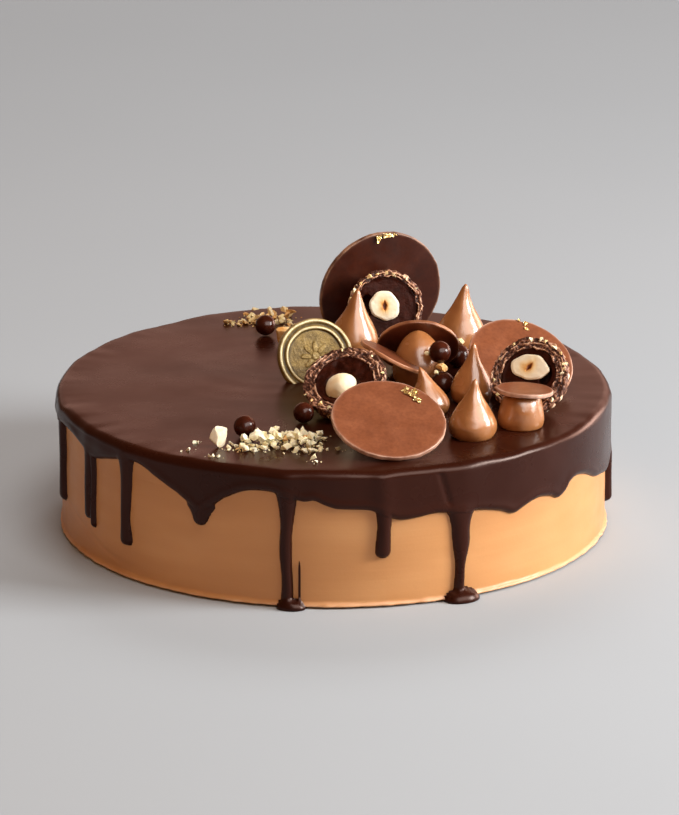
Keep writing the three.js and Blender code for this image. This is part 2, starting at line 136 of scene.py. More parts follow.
# Where the right disc has lost a crumb of its edge.
CHIP = (71.7, 13.1, 74.2)

# Middle, radius, thickness, facing.
COIN = ((-6.9, 8.45, 61.6), 14.7, 3.0, (0.17, -0.9, 0.41))

# Foot, radius, height, lean of the tip to the right, profile.
KISSES = {
    "kiss_front": ((51.4, -61.9), 9.0, 21.6, 0.8, "pointed"),
    "kiss_centre": ((52.1, -19.6), 8.1, 22.3, 0.6, "pointed"),
    "kiss_back": ((48.9, 42.0), 10.4, 27.0, 1.7, "pointed"),
    "kiss_left": ((7.6, 42.0), 9.6, 25.0, 1.6, "pointed"),
    "kiss_small": ((36.0, -33.3), 7.6, 17.2, -3.6, "pointed"),
    "kiss_lid": ((69.7, -49.2), 8.8, 12.1, 0, "flat"),
    "kiss_under": ((32.3, 2.0), 10.0, 20.6, 0, "dome"),
    "kiss_prop_front": ((21.5, -59.0), 8.5, 12.6, 0, "flat"),
    "kiss_prop_right": ((63.5, 3.0), 8.0, 16.0, 0, "dome"),
}
# Shares of the height and of the radius.
KISS_PROFILES = {
    "pointed": [
        (0, 0.84), (0.03, 0.9), (0.1, 0.97), (0.22, 1), (0.36, 0.87), (0.5, 0.67), (0.64, 0.45),
        (0.79, 0.27), (0.9, 0.16), (0.97, 0.11), (1, 0.03),
    ],
    "dome": [
        (0, 0.84), (0.04, 0.91), (0.1, 0.95), (0.26, 1), (0.45, 0.95), (0.62, 0.83), (0.78, 0.65),
        (0.91, 0.42), (0.98, 0.2), (1, 0.05),
    ],
    "flat": [
        (0, 0.93), (0.06, 0.97), (0.14, 1), (0.34, 0.99), (0.58, 0.93), (0.8, 0.84), (0.94, 0.74),
        (1, 0.58), (1.0, 0.2),
    ],
}

# Place of the middle, and radius.
BALLS = {
    "ball_front": (-32.7, -63.2, SEAT + 4.1, 4.1),
    "ball_truffle": (-11.0, -46.1, SEAT + 3.9, 3.9),
    "ball_back": (-26.6, 64.0, SEAT + 4.0, 4.0),
    "ball_low": (41.1, -11.8, SEAT + 4.4, 4.4),
    "ball_top": (40.1, -9.0, 68.8, 4.2),
    "ball_dark": (47.8, 22.4, SEAT + 4.5, 4.5),
}

# Middle, size, turn in degrees, seed, lightness. Those above PERCHED_ABOVE lie on other pieces, and
# the others are set down on the glaze.
NUT_CHUNKS = {
    "nut_front": ((-42.4, -75.0, 56.4), (7.6, 6.2, 7.0), 20, 11, 1.0),
    "nut_coin": ((-19.4, 53.5, 56.0), (8.4, 6.0, 5.6), 35, 12, 0.6),
    "nut_middle": ((40.8, -11.0, 63.4), (7.0, 4.2, 2.6), 10, 13, 0.6),
    "nut_perched": ((48.3, 21.0, 63.6), (4.4, 4.0, 3.8), 0, 14, 0.75),
}
PERCHED_ABOVE = 60

# Heaps of chopped nuts: middle, spread, count, size.
CRUMB_HEAPS = [
    ((-53.6, -79.4), (0, 0), 1, 4.6),
    ((-50.6, -70.1), (0.8, 0.8), 2, 2.4),
    ((-44, -87), (2.2, 0.8), 3, 2.6),
    ((-36.1, -76.2), (2.6, 4), 6, 3.2),
    ((-29.5, -76), (4, 5), 13, 4.8),
    ((-24.5, -73), (4, 6), 16, 5.4),
    ((-17, -71.5), (4.5, 7), 18, 5.2),
    ((-11, -75), (4, 7), 15, 5.0),
    ((-5.8, -66.5), (3, 2.5), 4, 5.0),
    ((-6.3, -77), (2.5, 3), 4, 3.6),
    ((-7, -93.6), (0.8, 0.8), 2, 3.4),
    ((-1.5, -78.6), (1, 1), 1, 2.8),
    ((1.8, -79), (0, 0), 1, 2.8),
    ((-38.5, 79), (4, 2.5), 8, 3.4),
    ((-30.5, 83), (5, 6), 16, 4.4),
    ((-21.5, 83), (5, 6), 16, 4.6),
    ((-16, 71), (3, 5), 9, 4.0),
    ((43.5, 4), (3, 3), 3, 1.8),
]

# Nut bits that stand out of the crusts: degrees round the cut, distance from its middle, size.
CRUST_BITS = {
    "truffle_right": [
        (100, 14.1, 2.2), (85, 14.2, 2.6), (75, 14.2, 2.0), (57, 14.1, 2.6), (43, 14.3, 2.2),
        (26, 14.3, 2.4), (18, 14.2, 1.8), (9, 13.4, 2.3), (-36, 14.1, 1.8), (-117, 13.8, 1.6),
        (-138, 13.5, 1.8), (128, 14.0, 1.4), (160, 14.1, 1.5), (196, 13.6, 1.8),
    ],
    "truffle_back": [
        (89, 13.2, 2.6), (73, 13.1, 2.6), (104, 13.2, 2.2), (118, 13.3, 2.8), (136, 13.4, 1.8),
        (151, 13.8, 2.6), (165, 13.7, 2.2), (180, 13.8, 2.4), (52, 13.5, 1.6), (30, 13.6, 1.6),
    ],
    "truffle_left": [
        (-116, 13.4, 2.6), (-101, 13.4, 2.2), (-132, 14.4, 1.8), (60, 14.4, 1.5), (20, 14.6, 1.5),
        (110, 14.4, 1.3), (165, 14.6, 1.4),
    ],
}
# Loose bits of nut that lie against the balls in the middle: place and size.
LOOSE_BITS = [((35.2, -9.2, 68.4), 2.6), ((38.7, -13.0, 62.0), 2.6)]

# Flakes of gold leaf: place, the disc they lie on, size; and how far they are off its middle plane.
LEAF_FLAKES = [
    ((17.2, 69.4, 90.9), "disc_back", 2.8), ((20.2, 70.6, 91.9), "disc_back", 3.2),
    ((22.9, 71.7, 91.9), "disc_back", 1.8), ((72.8, 11.6, 73.0), "disc_right", 2.0),
    ((70.2, 12.1, 74.0), "disc_right", 1.3), ((73.1, 9.1, 71.6), "disc_right", 1.6),
    ((26.6, -57.6, 68.5), "disc_front", 3.4), ((29.0, -59.4, 67.5), "disc_front", 4.6),
    ((30.8, -62.2, 66.1), "disc_front", 3.2),
]
LEAF_LIFT = {"disc_back": 1.15, "disc_front": 1.15, "disc_right": 0.95}

# The stage, in metres: place, size, watts, colour, and the rays that the light takes part in. The key
# stands at the right and the fills light matt colour only. The panels are only mirrored: two low ones
# behind, in the glaze's top, one behind at the right, in the right sides, and one in the kisses.
LIGHTS = {
    "key": ((1.32, -0.26, 0.56), (0.55, 0.55), 36, (1.0, 0.98, 0.95), "all"),
    "top_fill": ((0.28, -0.4, 1.5), (0.8, 0.8), 12.5, (1.0, 0.94, 0.87), "matt"),
    "front_fill": ((-0.9, -1.6, 0.9), (1.0, 1.0), 5.5, (1.0, 0.5, 0.2), "matt"),
    "back_fill": ((0.1, 2.3, 1.9), (1.6, 1.0), 32, (1.0, 0.97, 0.94), "matt"),
    "glaze_panel": ((0.15, 0.48, 0.2), (1.1, 0.2), 0.56, (1.0, 0.56, 0.46), "mirrored"),
    "sheen_panel": ((1.1, 0.7, 0.2), (0.7, 0.5), 12, (1.0, 0.66, 0.54), "mirrored"),
    "kiss_panel": ((0.5, -0.78, 0.7), (1.1, 0.7), 16, (1.0, 0.97, 0.93), "mirrored"),
    "edge_panel": ((0.32, 0.48, 0.2), (0.38, 0.2), 0.2, (1.0, 0.6, 0.48), "mirrored"),
}
LIGHTS_AIM = (0, 0, 0.05)
CAMERA_AIM = (0.002285, 0.00523, 0.0422)
CAMERA_DISTANCE = 2.2
CAMERA_DEGREES_UP = 17.9
# Focal length over the picture's height, and the sensor's height in millimetres.
FOCAL_SHARE = 5777 / 815
SENSOR = 36
WORLD_COLOUR = (1.0, 0.52, 0.28, 1)
WORLD_STRENGTH = 0.15
FLOOR_REACH = 20

# ---- numbers and meshes


def unit(vector):
    vector = np.asarray(vector, float)
    return vector / np.linalg.norm(vector)


def basis(facing):
    """Columns right, up and out; out runs along the facing and right stays level."""
    out = unit(facing)
    right = np.cross([0, 0, 1], out)
    if np.linalg.norm(right) < 0.1:
        right = np.array([1.0, 0, 0])
    right = unit(right - out * right.dot(out))
    return np.stack([right, np.cross(out, right), out], axis=1)


def place(points, centre, facing, lowest=0.0):
    """The points in the world, none of them below the lowest height."""
    world = points @ basis(facing).T + np.asarray(centre, float)
    world[:, 2] = np.maximum(world[:, 2], lowest)
    return world


def off_axis(points):
    return np.hypot(points[:, 0], points[:, 1])


def around_axis(points):
    return np.arctan2(points[:, 1], points[:, 0])


def turned(points, angle):
    """The points turned about the upright axis."""
    c, s = math.cos(angle), math.sin(angle)
    return points @ np.array([[c, s, 0], [-s, c, 0], [0, 0, 1]])


def push_out(points, move, least):
    """Moves points off the upright axis, apart from those that are nearer to it than least."""
    radius = off_axis(points)
    grow = 1 + np.divide(move, radius, out=np.zeros_like(radius), where=radius > least)
    points[:, :2] *= grow[:, None]


def lattice(ix, iy, iz, seed):
    """A number between -1 and 1 for each corner of the lattice, from mixed integers."""
    n = ix * 374761393 + iy * 668265263 + iz * 1274126177 + seed * 974634777
    n = (n ^ (n >> 13)) * 1103515245
    n = n ^ (n >> 16)
    return (n & 0xFFFF) / 32767.5 - 1


def noise(points, scale, seed=0):
    """Smooth value noise between -1 and 1, one number a point."""
    p = np.asarray(points, float) / scale
    cell = np.floor(p).astype(np.int64)
    f = p - cell
    f = f * f * (3 - 2 * f)
    total = np.zeros(len(p))
    for corner in itertools.product((0, 1), repeat=3):
        weight = np.where(corner, f, 1 - f).prod(axis=1)
        total += weight * lattice(*(cell + corner).T, seed)
    return total


def layers(points, seed, *octaves):
    """A sum of noises: height and scale of each; each has the next seed."""
    return sum(height * noise(points, scale, seed + k) for k, (height, scale) in enumerate(octaves))


def ring_noise(turn, rate, seed, row=0.0):
    """Noise that changes only with the angle."""
    zero = turn * 0
    return noise(np.stack([turn * rate, zero + row, zero], axis=1), 1.0, seed)


def smooth_step(x, low, high):
    x = np.clip((np.asarray(x, float) - low) / (high - low), 0, 1)
    return x * x * (3 - 2 * x)


def smooth_max(a, b, k):
    h = np.clip(0.5 + 0.5 * (a - b) / k, 0, 1)
    return b + (a - b) * h + k * h * (1 - h)


def bell(x, width):
    """1 where x is 0, and falling to 0 on both sides."""
    return np.exp(-((x / width) ** 2))


def close_rings(first, rings, last):
    """Points and faces of a closed shape: equal rings between two end points."""
    steps = len(rings[0])
    points = np.concatenate([[first], *rings, [last]])
    faces = []
    for low in range(1, (len(rings) - 1) * steps, steps):
        high = low + steps
        for j in range(steps):
            k = (j + 1) % steps
            faces.append((low + j, low + k, high + k, high + j))
    end = len(points) - 1
    for j in range(steps):
        k = (j + 1) % steps
        faces.append((0, 1 + k, 1 + j))
        faces.append((end, end - steps + j, end - steps + k))
    return points, faces


def revolve(profile, steps):
    """A closed turned shape from radii and heights; the profile's two ends are on the axis."""
    turn = np.linspace(0, 2 * math.pi, steps, endpoint=False)
    rings = [
        np.stack([r * np.cos(turn), r * np.sin(turn), np.full(steps, z)], axis=1)
        for r, z in profile[1:-1]
    ]
    return close_rings((0, 0, profile[0][1]), rings, (0, 0, profile[-1][1]))


def arc(radius, start, end, count, up=0.0):
    """Radii and heights on a circle, from one angle in degrees to another."""
    angles = np.radians(np.linspace(start, end, count))
    return [(radius * math.cos(a), radius * math.sin(a) + up) for a in angles]


def sphere(rows, steps):
    """A ball of radius 1."""
    return revolve(arc(1, -90, 90, rows), steps)


def add_piece(name, points, faces, mat, nodes=(), tone=None, smooth=True):
    """Adds one shown piece; tone is a number a point, which some materials turn into colour."""
    mesh = bpy.data.meshes.new(name)
    mesh.from_pydata((np.asarray(points) * MM).tolist(), [], faces)
    mesh.validate()
    if smooth:
        mesh.polygons.foreach_set("use_smooth", [True] * len(mesh.polygons))
    if tone is not None:
        layer = mesh.attributes.new("tone", "FLOAT_COLOR", "POINT")
        rgba = np.ones((len(points), 4))
        rgba[:, :3] = np.clip(np.asarray(tone), 0, 1)[:, None]
        layer.data.foreach_set("color", rgba.ravel())
    mesh.materials.append(mat)
    piece = bpy.data.objects.new(name, mesh)
    bpy.context.scene.collection.objects.link(piece)
    bm = bmesh.new()
    bm.from_mesh(mesh)
    bmesh.ops.recalc_face_normals(bm, faces=bm.faces)
    bm.to_mesh(mesh)
    bm.free()
    mesh.update()
    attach(piece, "root")
    if nodes:
        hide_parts(*nodes)


def dense_profile(profile, rows, rounds):
    """Profile points spread evenly along the line, with the corners softened."""
    points = np.array(profile, float)
    steps = np.r_[0, np.cumsum(np.hypot(*np.diff(points, axis=0).T))]
    at = np.linspace(0, steps[-1], rows)
    line = np.stack([np.interp(at, steps, points[:, 0]), np.interp(at, steps, points[:, 1])], axis=1)
    for _ in range(rounds):
        line[1:-1] = line[1:-1] / 2 + (line[:-2] + line[2:]) / 4
    return line


# ---- materials


def linear(r, g, b):
    def one(c):
        c /= 255
        return c / 12.92 if c <= 0.04045 else ((c + 0.055) / 1.055) ** 2.4

    return (one(r), one(g), one(b), 1.0)


class Nodes:
    """A Principled material with small helpers for the textures that feed it."""

    def __init__(self, name, **values):
        self.mat = bpy.data.materials.new(name)
        self.mat.use_nodes = True
        self.tree = self.mat.node_tree
        self.shader = self.tree.nodes["Principled BSDF"]
        self.coords = self.node("TexCoord").outputs["Object"]
        self.feed(self.shader, values)

    def node(self, kind, **values):
        node = self.tree.nodes.new("ShaderNode" + kind)
        self.feed(node, values)
        return node

    def feed(self, node, values):
        """Sets inputs of a node to numbers, or links them to outputs of other nodes."""
        for key, value in values.items():
            socket = node.inputs[key.replace("_", " ") if isinstance(key, str) else key]
            if isinstance(value, bpy.types.NodeSocket):
                self.tree.links.new(value, socket)
            else:
                socket.default_value = value

    def noise(self, scale, detail=3.0, rough=0.55, stretch=None, distortion=0.0):
        source = self.coords
        if stretch:
            source = self.node("Mapping", Vector=source, Scale=stretch).outputs["Vector"]
        return self.node(
            "TexNoise", Vector=source, Scale=scale, Detail=detail, Roughness=rough,
            Distortion=distortion,
        ).outputs["Fac"]

    def cells(self, scale):
        return self.node("TexVoronoi", Vector=self.coords, Scale=scale).outputs["Distance"]

    def ramp(self, value, stops):
        """A colour from a number; the stops are places and colours of 0 to 255."""
        node = self.node("ValToRGB", Fac=value)
        elements = node.color_ramp.elements
        while len(elements) < len(stops):
            elements.new(0.5)
        for element, (at, colour) in zip(elements, stops):
            element.position = at
            element.color = linear(*colour)
        return node.outputs["Color"]

    def span(self, noise, low, high):
        """Stretches a noise, which keeps mostly between 0.3 and 0.7, over the two numbers."""
        ends = {"From Min": 0.3, "From Max": 0.7, "To Min": low, "To Max": high}
        return self.node("MapRange", Value=noise, **ends).outputs["Result"]

    def math(self, kind, a, b):
        node = self.node("Math")
        node.operation = kind
        self.feed(node, {0: a, 1: b})
        return node.outputs["Value"]

    def mix(self, kind, factor, a, b):
        node = self.node("Mix")
        node.data_type = "RGBA"
        node.blend_type = kind
        # The sockets of a colour mix: its factor and its two colours.
        self.feed(node, {0: factor, 6: a, 7: b})
        return node.outputs[2]

    def tone(self):
        node = self.node("Attribute")
        node.attribute_name = "tone"
        return node.outputs["Fac"]

    def colour(self, socket):
        self.feed(self.shader, {"Base Color": socket})

    def cloudy(self, noise, low, high):
        """Colours the material between two colours, by a noise."""
        self.colour(self.ramp(noise, [(0.3, low), (0.7, high)]))

    def rough(self, noise, low, high):
        self.feed(self.shader, {"Roughness": self.span(noise, low, high)})

    def bump(self, height, distance, strength):
        node = self.node("Bump", Height=height, Distance=distance, Strength=strength)
        self.feed(self.shader, {"Normal": node.outputs["Normal"]})


def frosting_material():
    m = Nodes(
        "mousse_frosting", Specular_IOR_Level=0.4, Subsurface_Weight=0.05,
        Subsurface_Radius=(0.005, 0.002, 0.001),
    )
    broad = m.noise(18, 2, 0.5, stretch=(1, 1, 3))
    base = m.ramp(broad, [(0.3, (195, 137, 83)), (0.55, (203, 145, 90)), (0.75, (210, 154, 99))])
    m.colour(m.mix("MIX", m.tone(), base, linear(228, 180, 140)))
    m.rough(m.noise(60, 3), 0.34, 0.5)
    fine = m.noise(900, 3, 0.6)
    bands = m.noise(60, 3, 0.5, stretch=(0.25, 0.25, 6))
    m.bump(m.math("ADD", m.math("MULTIPLY", fine, 0.25), bands), 0.0002, 0.55)
    return m.mat


def ganache_material():
    m = Nodes("drip_ganache", Specular_IOR_Level=0.21, Specular_Tint=(1.0, 0.78, 0.7, 1))
    m.cloudy(m.noise(22, 3, 0.5), (40, 13, 6), (50, 19, 9))
    m.rough(m.noise(35, 4, 0.6), 0.24, 0.34)
    m.bump(m.noise(260, 3, 0.6), 0.00005, 0.4)
    return m.mat


def kiss_material():
    m = Nodes(
        "piped_ganache", Specular_IOR_Level=0.8, Subsurface_Weight=0.05,
        Subsurface_Radius=(0.003, 0.0015, 0.001),
    )
    m.cloudy(m.noise(120, 3), (160, 103, 58), (176, 117, 70))
    m.rough(m.noise(90, 3), 0.2, 0.3)
    m.bump(m.noise(700, 3, 0.6), 0.00006, 0.6)
    return m.mat


def chocolate_material(name, low, mid, high, painted_rim_highlight, rough):
    """Moulded chocolate; the tone attribute is 1 on a disc's rim, which is painted pale as a painted
    highlight.
    """
    m = Nodes(name, Specular_IOR_Level=0.45)
    cloud = m.noise(110, 4, 0.6, distortion=0.4)
    speck = m.noise(900, 2, 0.5)
    tint = m.ramp(cloud, [(0.3, low), (0.5, mid), (0.72, high)])
    specks = m.ramp(speck, [(0.35, (196, 186, 180)), (0.6, (255, 255, 255))])
    m.colour(m.mix("MIX", m.tone(), m.mix("MULTIPLY", 0.35, tint, specks), linear(*painted_rim_highlight)))
    m.rough(m.noise(160, 4, 0.6), rough - 0.06, rough + 0.08)
    m.bump(m.math("ADD", cloud, m.math("MULTIPLY", speck, 0.3)), 0.00009, 0.5)
    return m.mat


def ball_material():
    m = Nodes("glossy_pearl", Specular_IOR_Level=0.24)
    m.cloudy(m.noise(220, 3), (48, 18, 9), (70, 28, 15))
    m.rough(m.noise(300, 3), 0.16, 0.27)
    m.bump(m.noise(420, 3, 0.6), 0.0001, 0.6)
    return m.mat


def toned_material(name, stops, jitter, rough, grain, depth, **numbers):
    """A material whose colour follows the tone attribute through a ramp, with a fine speckle."""
    m = Nodes(name, **numbers)
    fine = m.noise(grain, 3, 0.6)
    m.colour(m.ramp(m.math("ADD", m.tone(), m.span(fine, -jitter, jitter)), stops))
    m.rough(m.noise(500, 2), *rough)
    m.bump(m.math("ADD", fine, m.math("MULTIPLY", m.cells(grain * 0.7), 0.5)), depth, 0.7)
    return m.mat


def crust_material():
    stops = [
        (0.0, (30, 12, 8)), (0.25, (84, 50, 38)), (0.46, (172, 122, 96)), (0.68, (232, 192, 160)),
        (1.0, (250, 230, 198)),
    ]
    return toned_material(
        "wafer_crust", stops, 0.1, (0.36, 0.6), 1400, 0.0002, Specular_IOR_Level=0.25
    )


def cream_material():
    m = Nodes("hazelnut_cream", Specular_IOR_Level=0.07)
    m.cloudy(m.noise(300, 4, 0.6), (38, 12, 5), (60, 23, 12))
    m.rough(m.noise(420, 3), 0.35, 0.55)
    m.bump(m.noise(700, 4, 0.65), 0.0003, 0.6)
    return m.mat


def nut_material():
    stops = [
        (0.0, (58, 22, 8)), (0.2, (132, 68, 24)), (0.42, (224, 160, 82)), (0.66, (250, 220, 164)),
        (1.0, (255, 246, 222)),
    ]
    return toned_material(
        "hazelnut_flesh", stops, 0.05, (0.4, 0.58), 800, 0.0001, Specular_IOR_Level=0.15
    )


def crumb_material():
    stops = [
        (0.0, (176, 108, 52)), (0.3, (236, 188, 120)), (0.6, (255, 238, 184)), (1.0, (255, 251, 224)),
    ]
    return toned_material(
        "chopped_nut", stops, 0.1, (0.4, 0.6), 900, 0.00016, Specular_IOR_Level=0.35,
        Subsurface_Weight=0.1, Subsurface_Radius=(0.002, 0.0015, 0.001),
    )


def gilding_material():
    m = Nodes("gold_dust", Metallic=0.1, Specular_IOR_Level=0.3)
    grain = m.noise(2600, 2, 0.6)
    stops = [(0.0, (42, 30, 10)), (0.3, (96, 76, 32)), (0.55, (156, 130, 68)), (1.0, (252, 242, 200))]
    m.colour(m.ramp(m.math("ADD", m.tone(), m.span(grain, -0.12, 0.12)), stops))
    m.rough(m.noise(300, 3), 0.3, 0.46)
    m.bump(grain, 0.00016, 0.8)
    return m.mat


def leaf_material():
    m = Nodes("gold_leaf", Metallic=0.85, Specular_IOR_Level=0.5)
    m.cloudy(m.noise(600, 3), (224, 168, 72), (255, 238, 176))
    m.rough(m.noise(700, 3), 0.2, 0.36)
    m.bump(m.noise(1400, 3, 0.6), 0.0002, 0.8)
    return m.mat


def floor_material():
    m = Nodes("pale_floor", Specular_IOR_Level=0.1, Roughness=0.9)
    m.cloudy(m.noise(3, 2), (166, 173, 180), (168, 175, 182))
    return m.mat


FROSTING = frosting_material()
GANACHE = ganache_material()
KISS = kiss_material()
# The fourth colour of each chocolate is the pale of the painted highlight along a disc's rim.
CHOCOLATES = {
    "dark": chocolate_material(
        "dark_chocolate", (52, 19, 8), (62, 24, 11), (72, 30, 14), (196, 150, 120), 0.34
    ),
    "milk": chocolate_material(
        "milk_chocolate", (118, 66, 41), (130, 75, 48), (142, 85, 56), (240, 200, 176), 0.36
    ),
    "umber": chocolate_material(
        "umber_chocolate", (92, 46, 26), (104, 54, 31), (116, 62, 37), (214, 150, 106), 0.36
    ),
}
PEARL = ball_material()
CRUST = crust_material()
CREAM = cream_material()
NUT = nut_material()
CRUMB = crumb_material()
GILDING = gilding_material()
LEAF = leaf_material()

# ---- cake body


def build_body():
    # From the low lip of the foot, up the side and round the upper edge.
    side = [
        (FOOT_R - 2.6, 0.0), (FOOT_R - 2.2, 0.35), (FOOT_R - 0.7, 0.6), (FOOT_R, 0.9), (FOOT_R, 1.3),
        (FOOT_R - 0.25, 1.7), (BODY_R + 0.2, 2.1), (BODY_R, 2.8),
    ]
    inner, shoulder = BODY_R - BODY_ROUNDING, BODY_H - BODY_ROUNDING
    side += [(BODY_R, z) for z in np.linspace(3.2, shoulder, 56)]
    side += [
        (inner + BODY_ROUNDING * math.cos(a), shoulder + BODY_ROUNDING * math.sin(a))
        for a in np.radians([20, 45, 70, 90])
    ]
    points, faces = revolve([(0, 0.0), (60, 0.0), *side, (50, BODY_H), (0, BODY_H)], 640)
    radius, z = off_axis(points), points[:, 2]
    outside = smooth_step(radius, 100, 103) * smooth_step(z, 0.02, 0.4)
    turn = np.arctan2(points[:, 0], -points[:, 1])
    degrees = np.degrees(turn)
    around = np.stack([np.cos(turn) * BODY_R, np.sin(turn) * BODY_R, z], axis=1)
    ragged = noise(around, 9, 4) * 0.3 + noise(around, 2.6, 5) * 0.3 + noise(around, 1.1, 8) * 0.12
    foot = smooth_step(-z, -2.8, -1.4)
    broad = noise(around * [1, 1, 0.5], 30, 6) * 0.22 + noise(around * [1, 1, 3], 14, 7) * 0.07
    # A faint fold runs down to the right from the left end, where the spatula was lifted.
    fold = z - (17 - 12 * smooth_step(degrees, -80, -45))
    crease = -0.28 * bell(fold, 0.8) * smooth_step(-degrees, 42, 55)
    move = outside * (broad * (1 - foot) + ragged * foot + crease * smooth_step(-degrees, -95, 95))
    push_out(points, np.clip(move, -0.6, 0.42), 1)
    lip = bell(z - 1.15, 0.5) * smooth_step(radius, 102, 103.6)
    tone = lip * (0.55 + 0.45 * noise(around, 3.5, 9))
    add_piece("look_cake_body", points, faces, FROSTING, ["cake_body"], tone)


# ---- glaze


def skirt_edge(turn):
    """Height of the skirt's lower edge at each angle: a cubic through its points, without corners."""
    xs = np.array([a for a, _ in SKIRT_EDGE] + [SKIRT_EDGE[0][0] + 360.0])
    zs = np.array([z for _, z in SKIRT_EDGE] + [SKIRT_EDGE[0][1]], float)
    t = xs[0] + np.mod(turn - xs[0], 360)
    i = np.clip(np.searchsorted(xs, t, side="right") - 1, 0, len(xs) - 2)
    s = (t - xs[i]) / (xs[i + 1] - xs[i])
    n = len(xs) - 1
    before = zs[(i - 1) % n]
    after = zs[(i + 2) % n]
    a, b = zs[i], zs[i + 1]
    cubic = a + 0.5 * s * (
        b - before + s * (2 * before - 5 * a + 4 * b - after + s * (3 * (a - b) + after - before))
    )
    return np.clip(cubic, np.minimum(a, b) - 0.4, np.maximum(a, b) + 0.4)


def across(turn, degrees, radius=BODY_R):
    """Millimetres round the cake from an angle."""
    return (np.mod(turn - degrees + 180, 360) - 180) * math.pi / 180 * radius


def round_edge(x):
    x = np.clip(x, 0, 1)
    return np.sqrt(np.clip(1 - (1 - x) ** 2, 0, 1))


def drip_stand(drip, aside, z):
    """How far a drip and the rib above it stand out, at points aside of its angle."""
    angle, tip, width, depth, drop, root, fall, rib = drip
    top = float(skirt_edge(np.array([angle]))[0]) + 1.5
    aside = aside + 0.3 * np.sin(z * 0.21 + angle)
    half = width / 2
    low = tip + half
    if angle == WIDE_DRIP[0]:
        _, start, end, wider, swing = WIDE_DRIP
        share = smooth_step(z, start, end)
        half = half + wider * share
        aside = aside + swing * (1 - share)
    flare = root * half * np.exp(-np.clip(top - z, 0, None) / fall)
    swell = drop * half * bell(z - low, 1.7 * half)
    neck = half * (0.95 + 0.05 * np.cos((z - low) * 0.35)) + flare + swell
    gap = neck - np.hypot(aside, np.clip(low - z, 0, None))
    stand = depth + 0.5 * drop * bell(z - low - 0.5, 2 * half)
    # Above the skirt's edge the drip melts into a soft rib.
    stand = stand - (stand - 1.0) * smooth_step(z, top - 2, top + 4)
    body = np.where(gap > 0, stand * round_edge(gap / neck), 2.2 * gap)
    ridge = rib * smooth_step(z, top - 5, top + 3) * bell(aside, np.maximum(neck, 3.4) * 1.15)
    return body, ridge


def trickle_stand(aside, z):
    """How far the thin trickle stands out."""
    _, start, half = TRICKLE
    thin = half * smooth_step(-z, -start, -start + 14) + 0.05
    gap = thin - aside
    stand = 0.9 * smooth_step(-z, -start, -start + 6) * round_edge(gap / thin)
    return np.where(gap > 0, stand, -1)


def pool_stand(pool, aside, z):
    """How far a drip's pool at the foot stands out."""
    _, half, reach, height = pool
    ball = 1 - (aside / half) ** 2 - (z / height) ** 2
    stand = 0.8 + reach * np.sqrt(np.clip(ball, 0, None)) - 0.8 * (ball < 0.02)
    return np.where(ball > 0, stand, -3)


def skirt_relief(turn, z):
    """A slanting crease beside the widest drip, a short one at the left, and a lip along the left."""
    slant = across(turn, 22.8) + (z - 44) * 0.28
    crease = 0.75 * bell(slant, 0.9) * smooth_step(z, 36, 40)
    crease += 0.5 * bell(across(turn, -84), 1.2) * smooth_step(z, 45, 48)
    lip = 0.45 * smooth_step(-turn, 42, 60) * smooth_step(-turn, -88, -70) * bell(z - 47.5, 2.2)
    return lip - crease


def glaze_thickness(turn, z):
    """How far the glaze stands out of the frosting at angles and heights; below 0 there is none."""
    edge = skirt_edge(turn)
    slope = (skirt_edge(turn + 0.4) - skirt_edge(turn - 0.4)) / (0.8 * math.pi / 180 * BODY_R)
    inside = (z - edge) / np.sqrt(1 + slope**2)
    skirt = SKIRT_STAND * round_edge(inside / 2.4) + 0.25 * bell(inside - 2.2, 1.6)
    total = np.where(inside > 0, skirt, 2.2 * inside)
    ribs = np.zeros_like(total)
    for drip in DRIPS:
        aside = across(turn, drip[0])
        near = np.abs(aside) < 16
        body, ridge = drip_stand(drip, aside[near], z[near])
        total[near] = smooth_max(total[near], body, 0.7)
        ribs[near] = np.maximum(ribs[near], ridge)
    aside = np.abs(across(turn, TRICKLE[0]))
    total = np.where(aside < 2, smooth_max(total, trickle_stand(aside, z), 0.3), total)
    for pool in POOLS:
        aside = across(turn, pool[0], FOOT_R)
        near = np.abs(aside) < pool[1] + 3
        total[near] = smooth_max(total[near], pool_stand(pool, aside[near], z[near]), 0.9)
    return total + np.where(inside > 0.6, ribs + skirt_relief(turn, z), 0), inside


def glaze_angles(count):
    """Degrees round the cake, closer together at the drips."""
    fine = np.linspace(-180, 180, 7201)
    density = np.ones_like(fine)
    for angle, _, width, *_ in DRIPS:
        density += 1.6 * np.exp(-((np.abs(across(fine, angle)) / (width * 0.6 + 1.4)) ** 4))
    total = np.r_[0, np.cumsum((density[1:] + density[:-1]) / 2)]
    return np.interp(np.linspace(0, total[-1], count + 1)[:-1], total, fine)


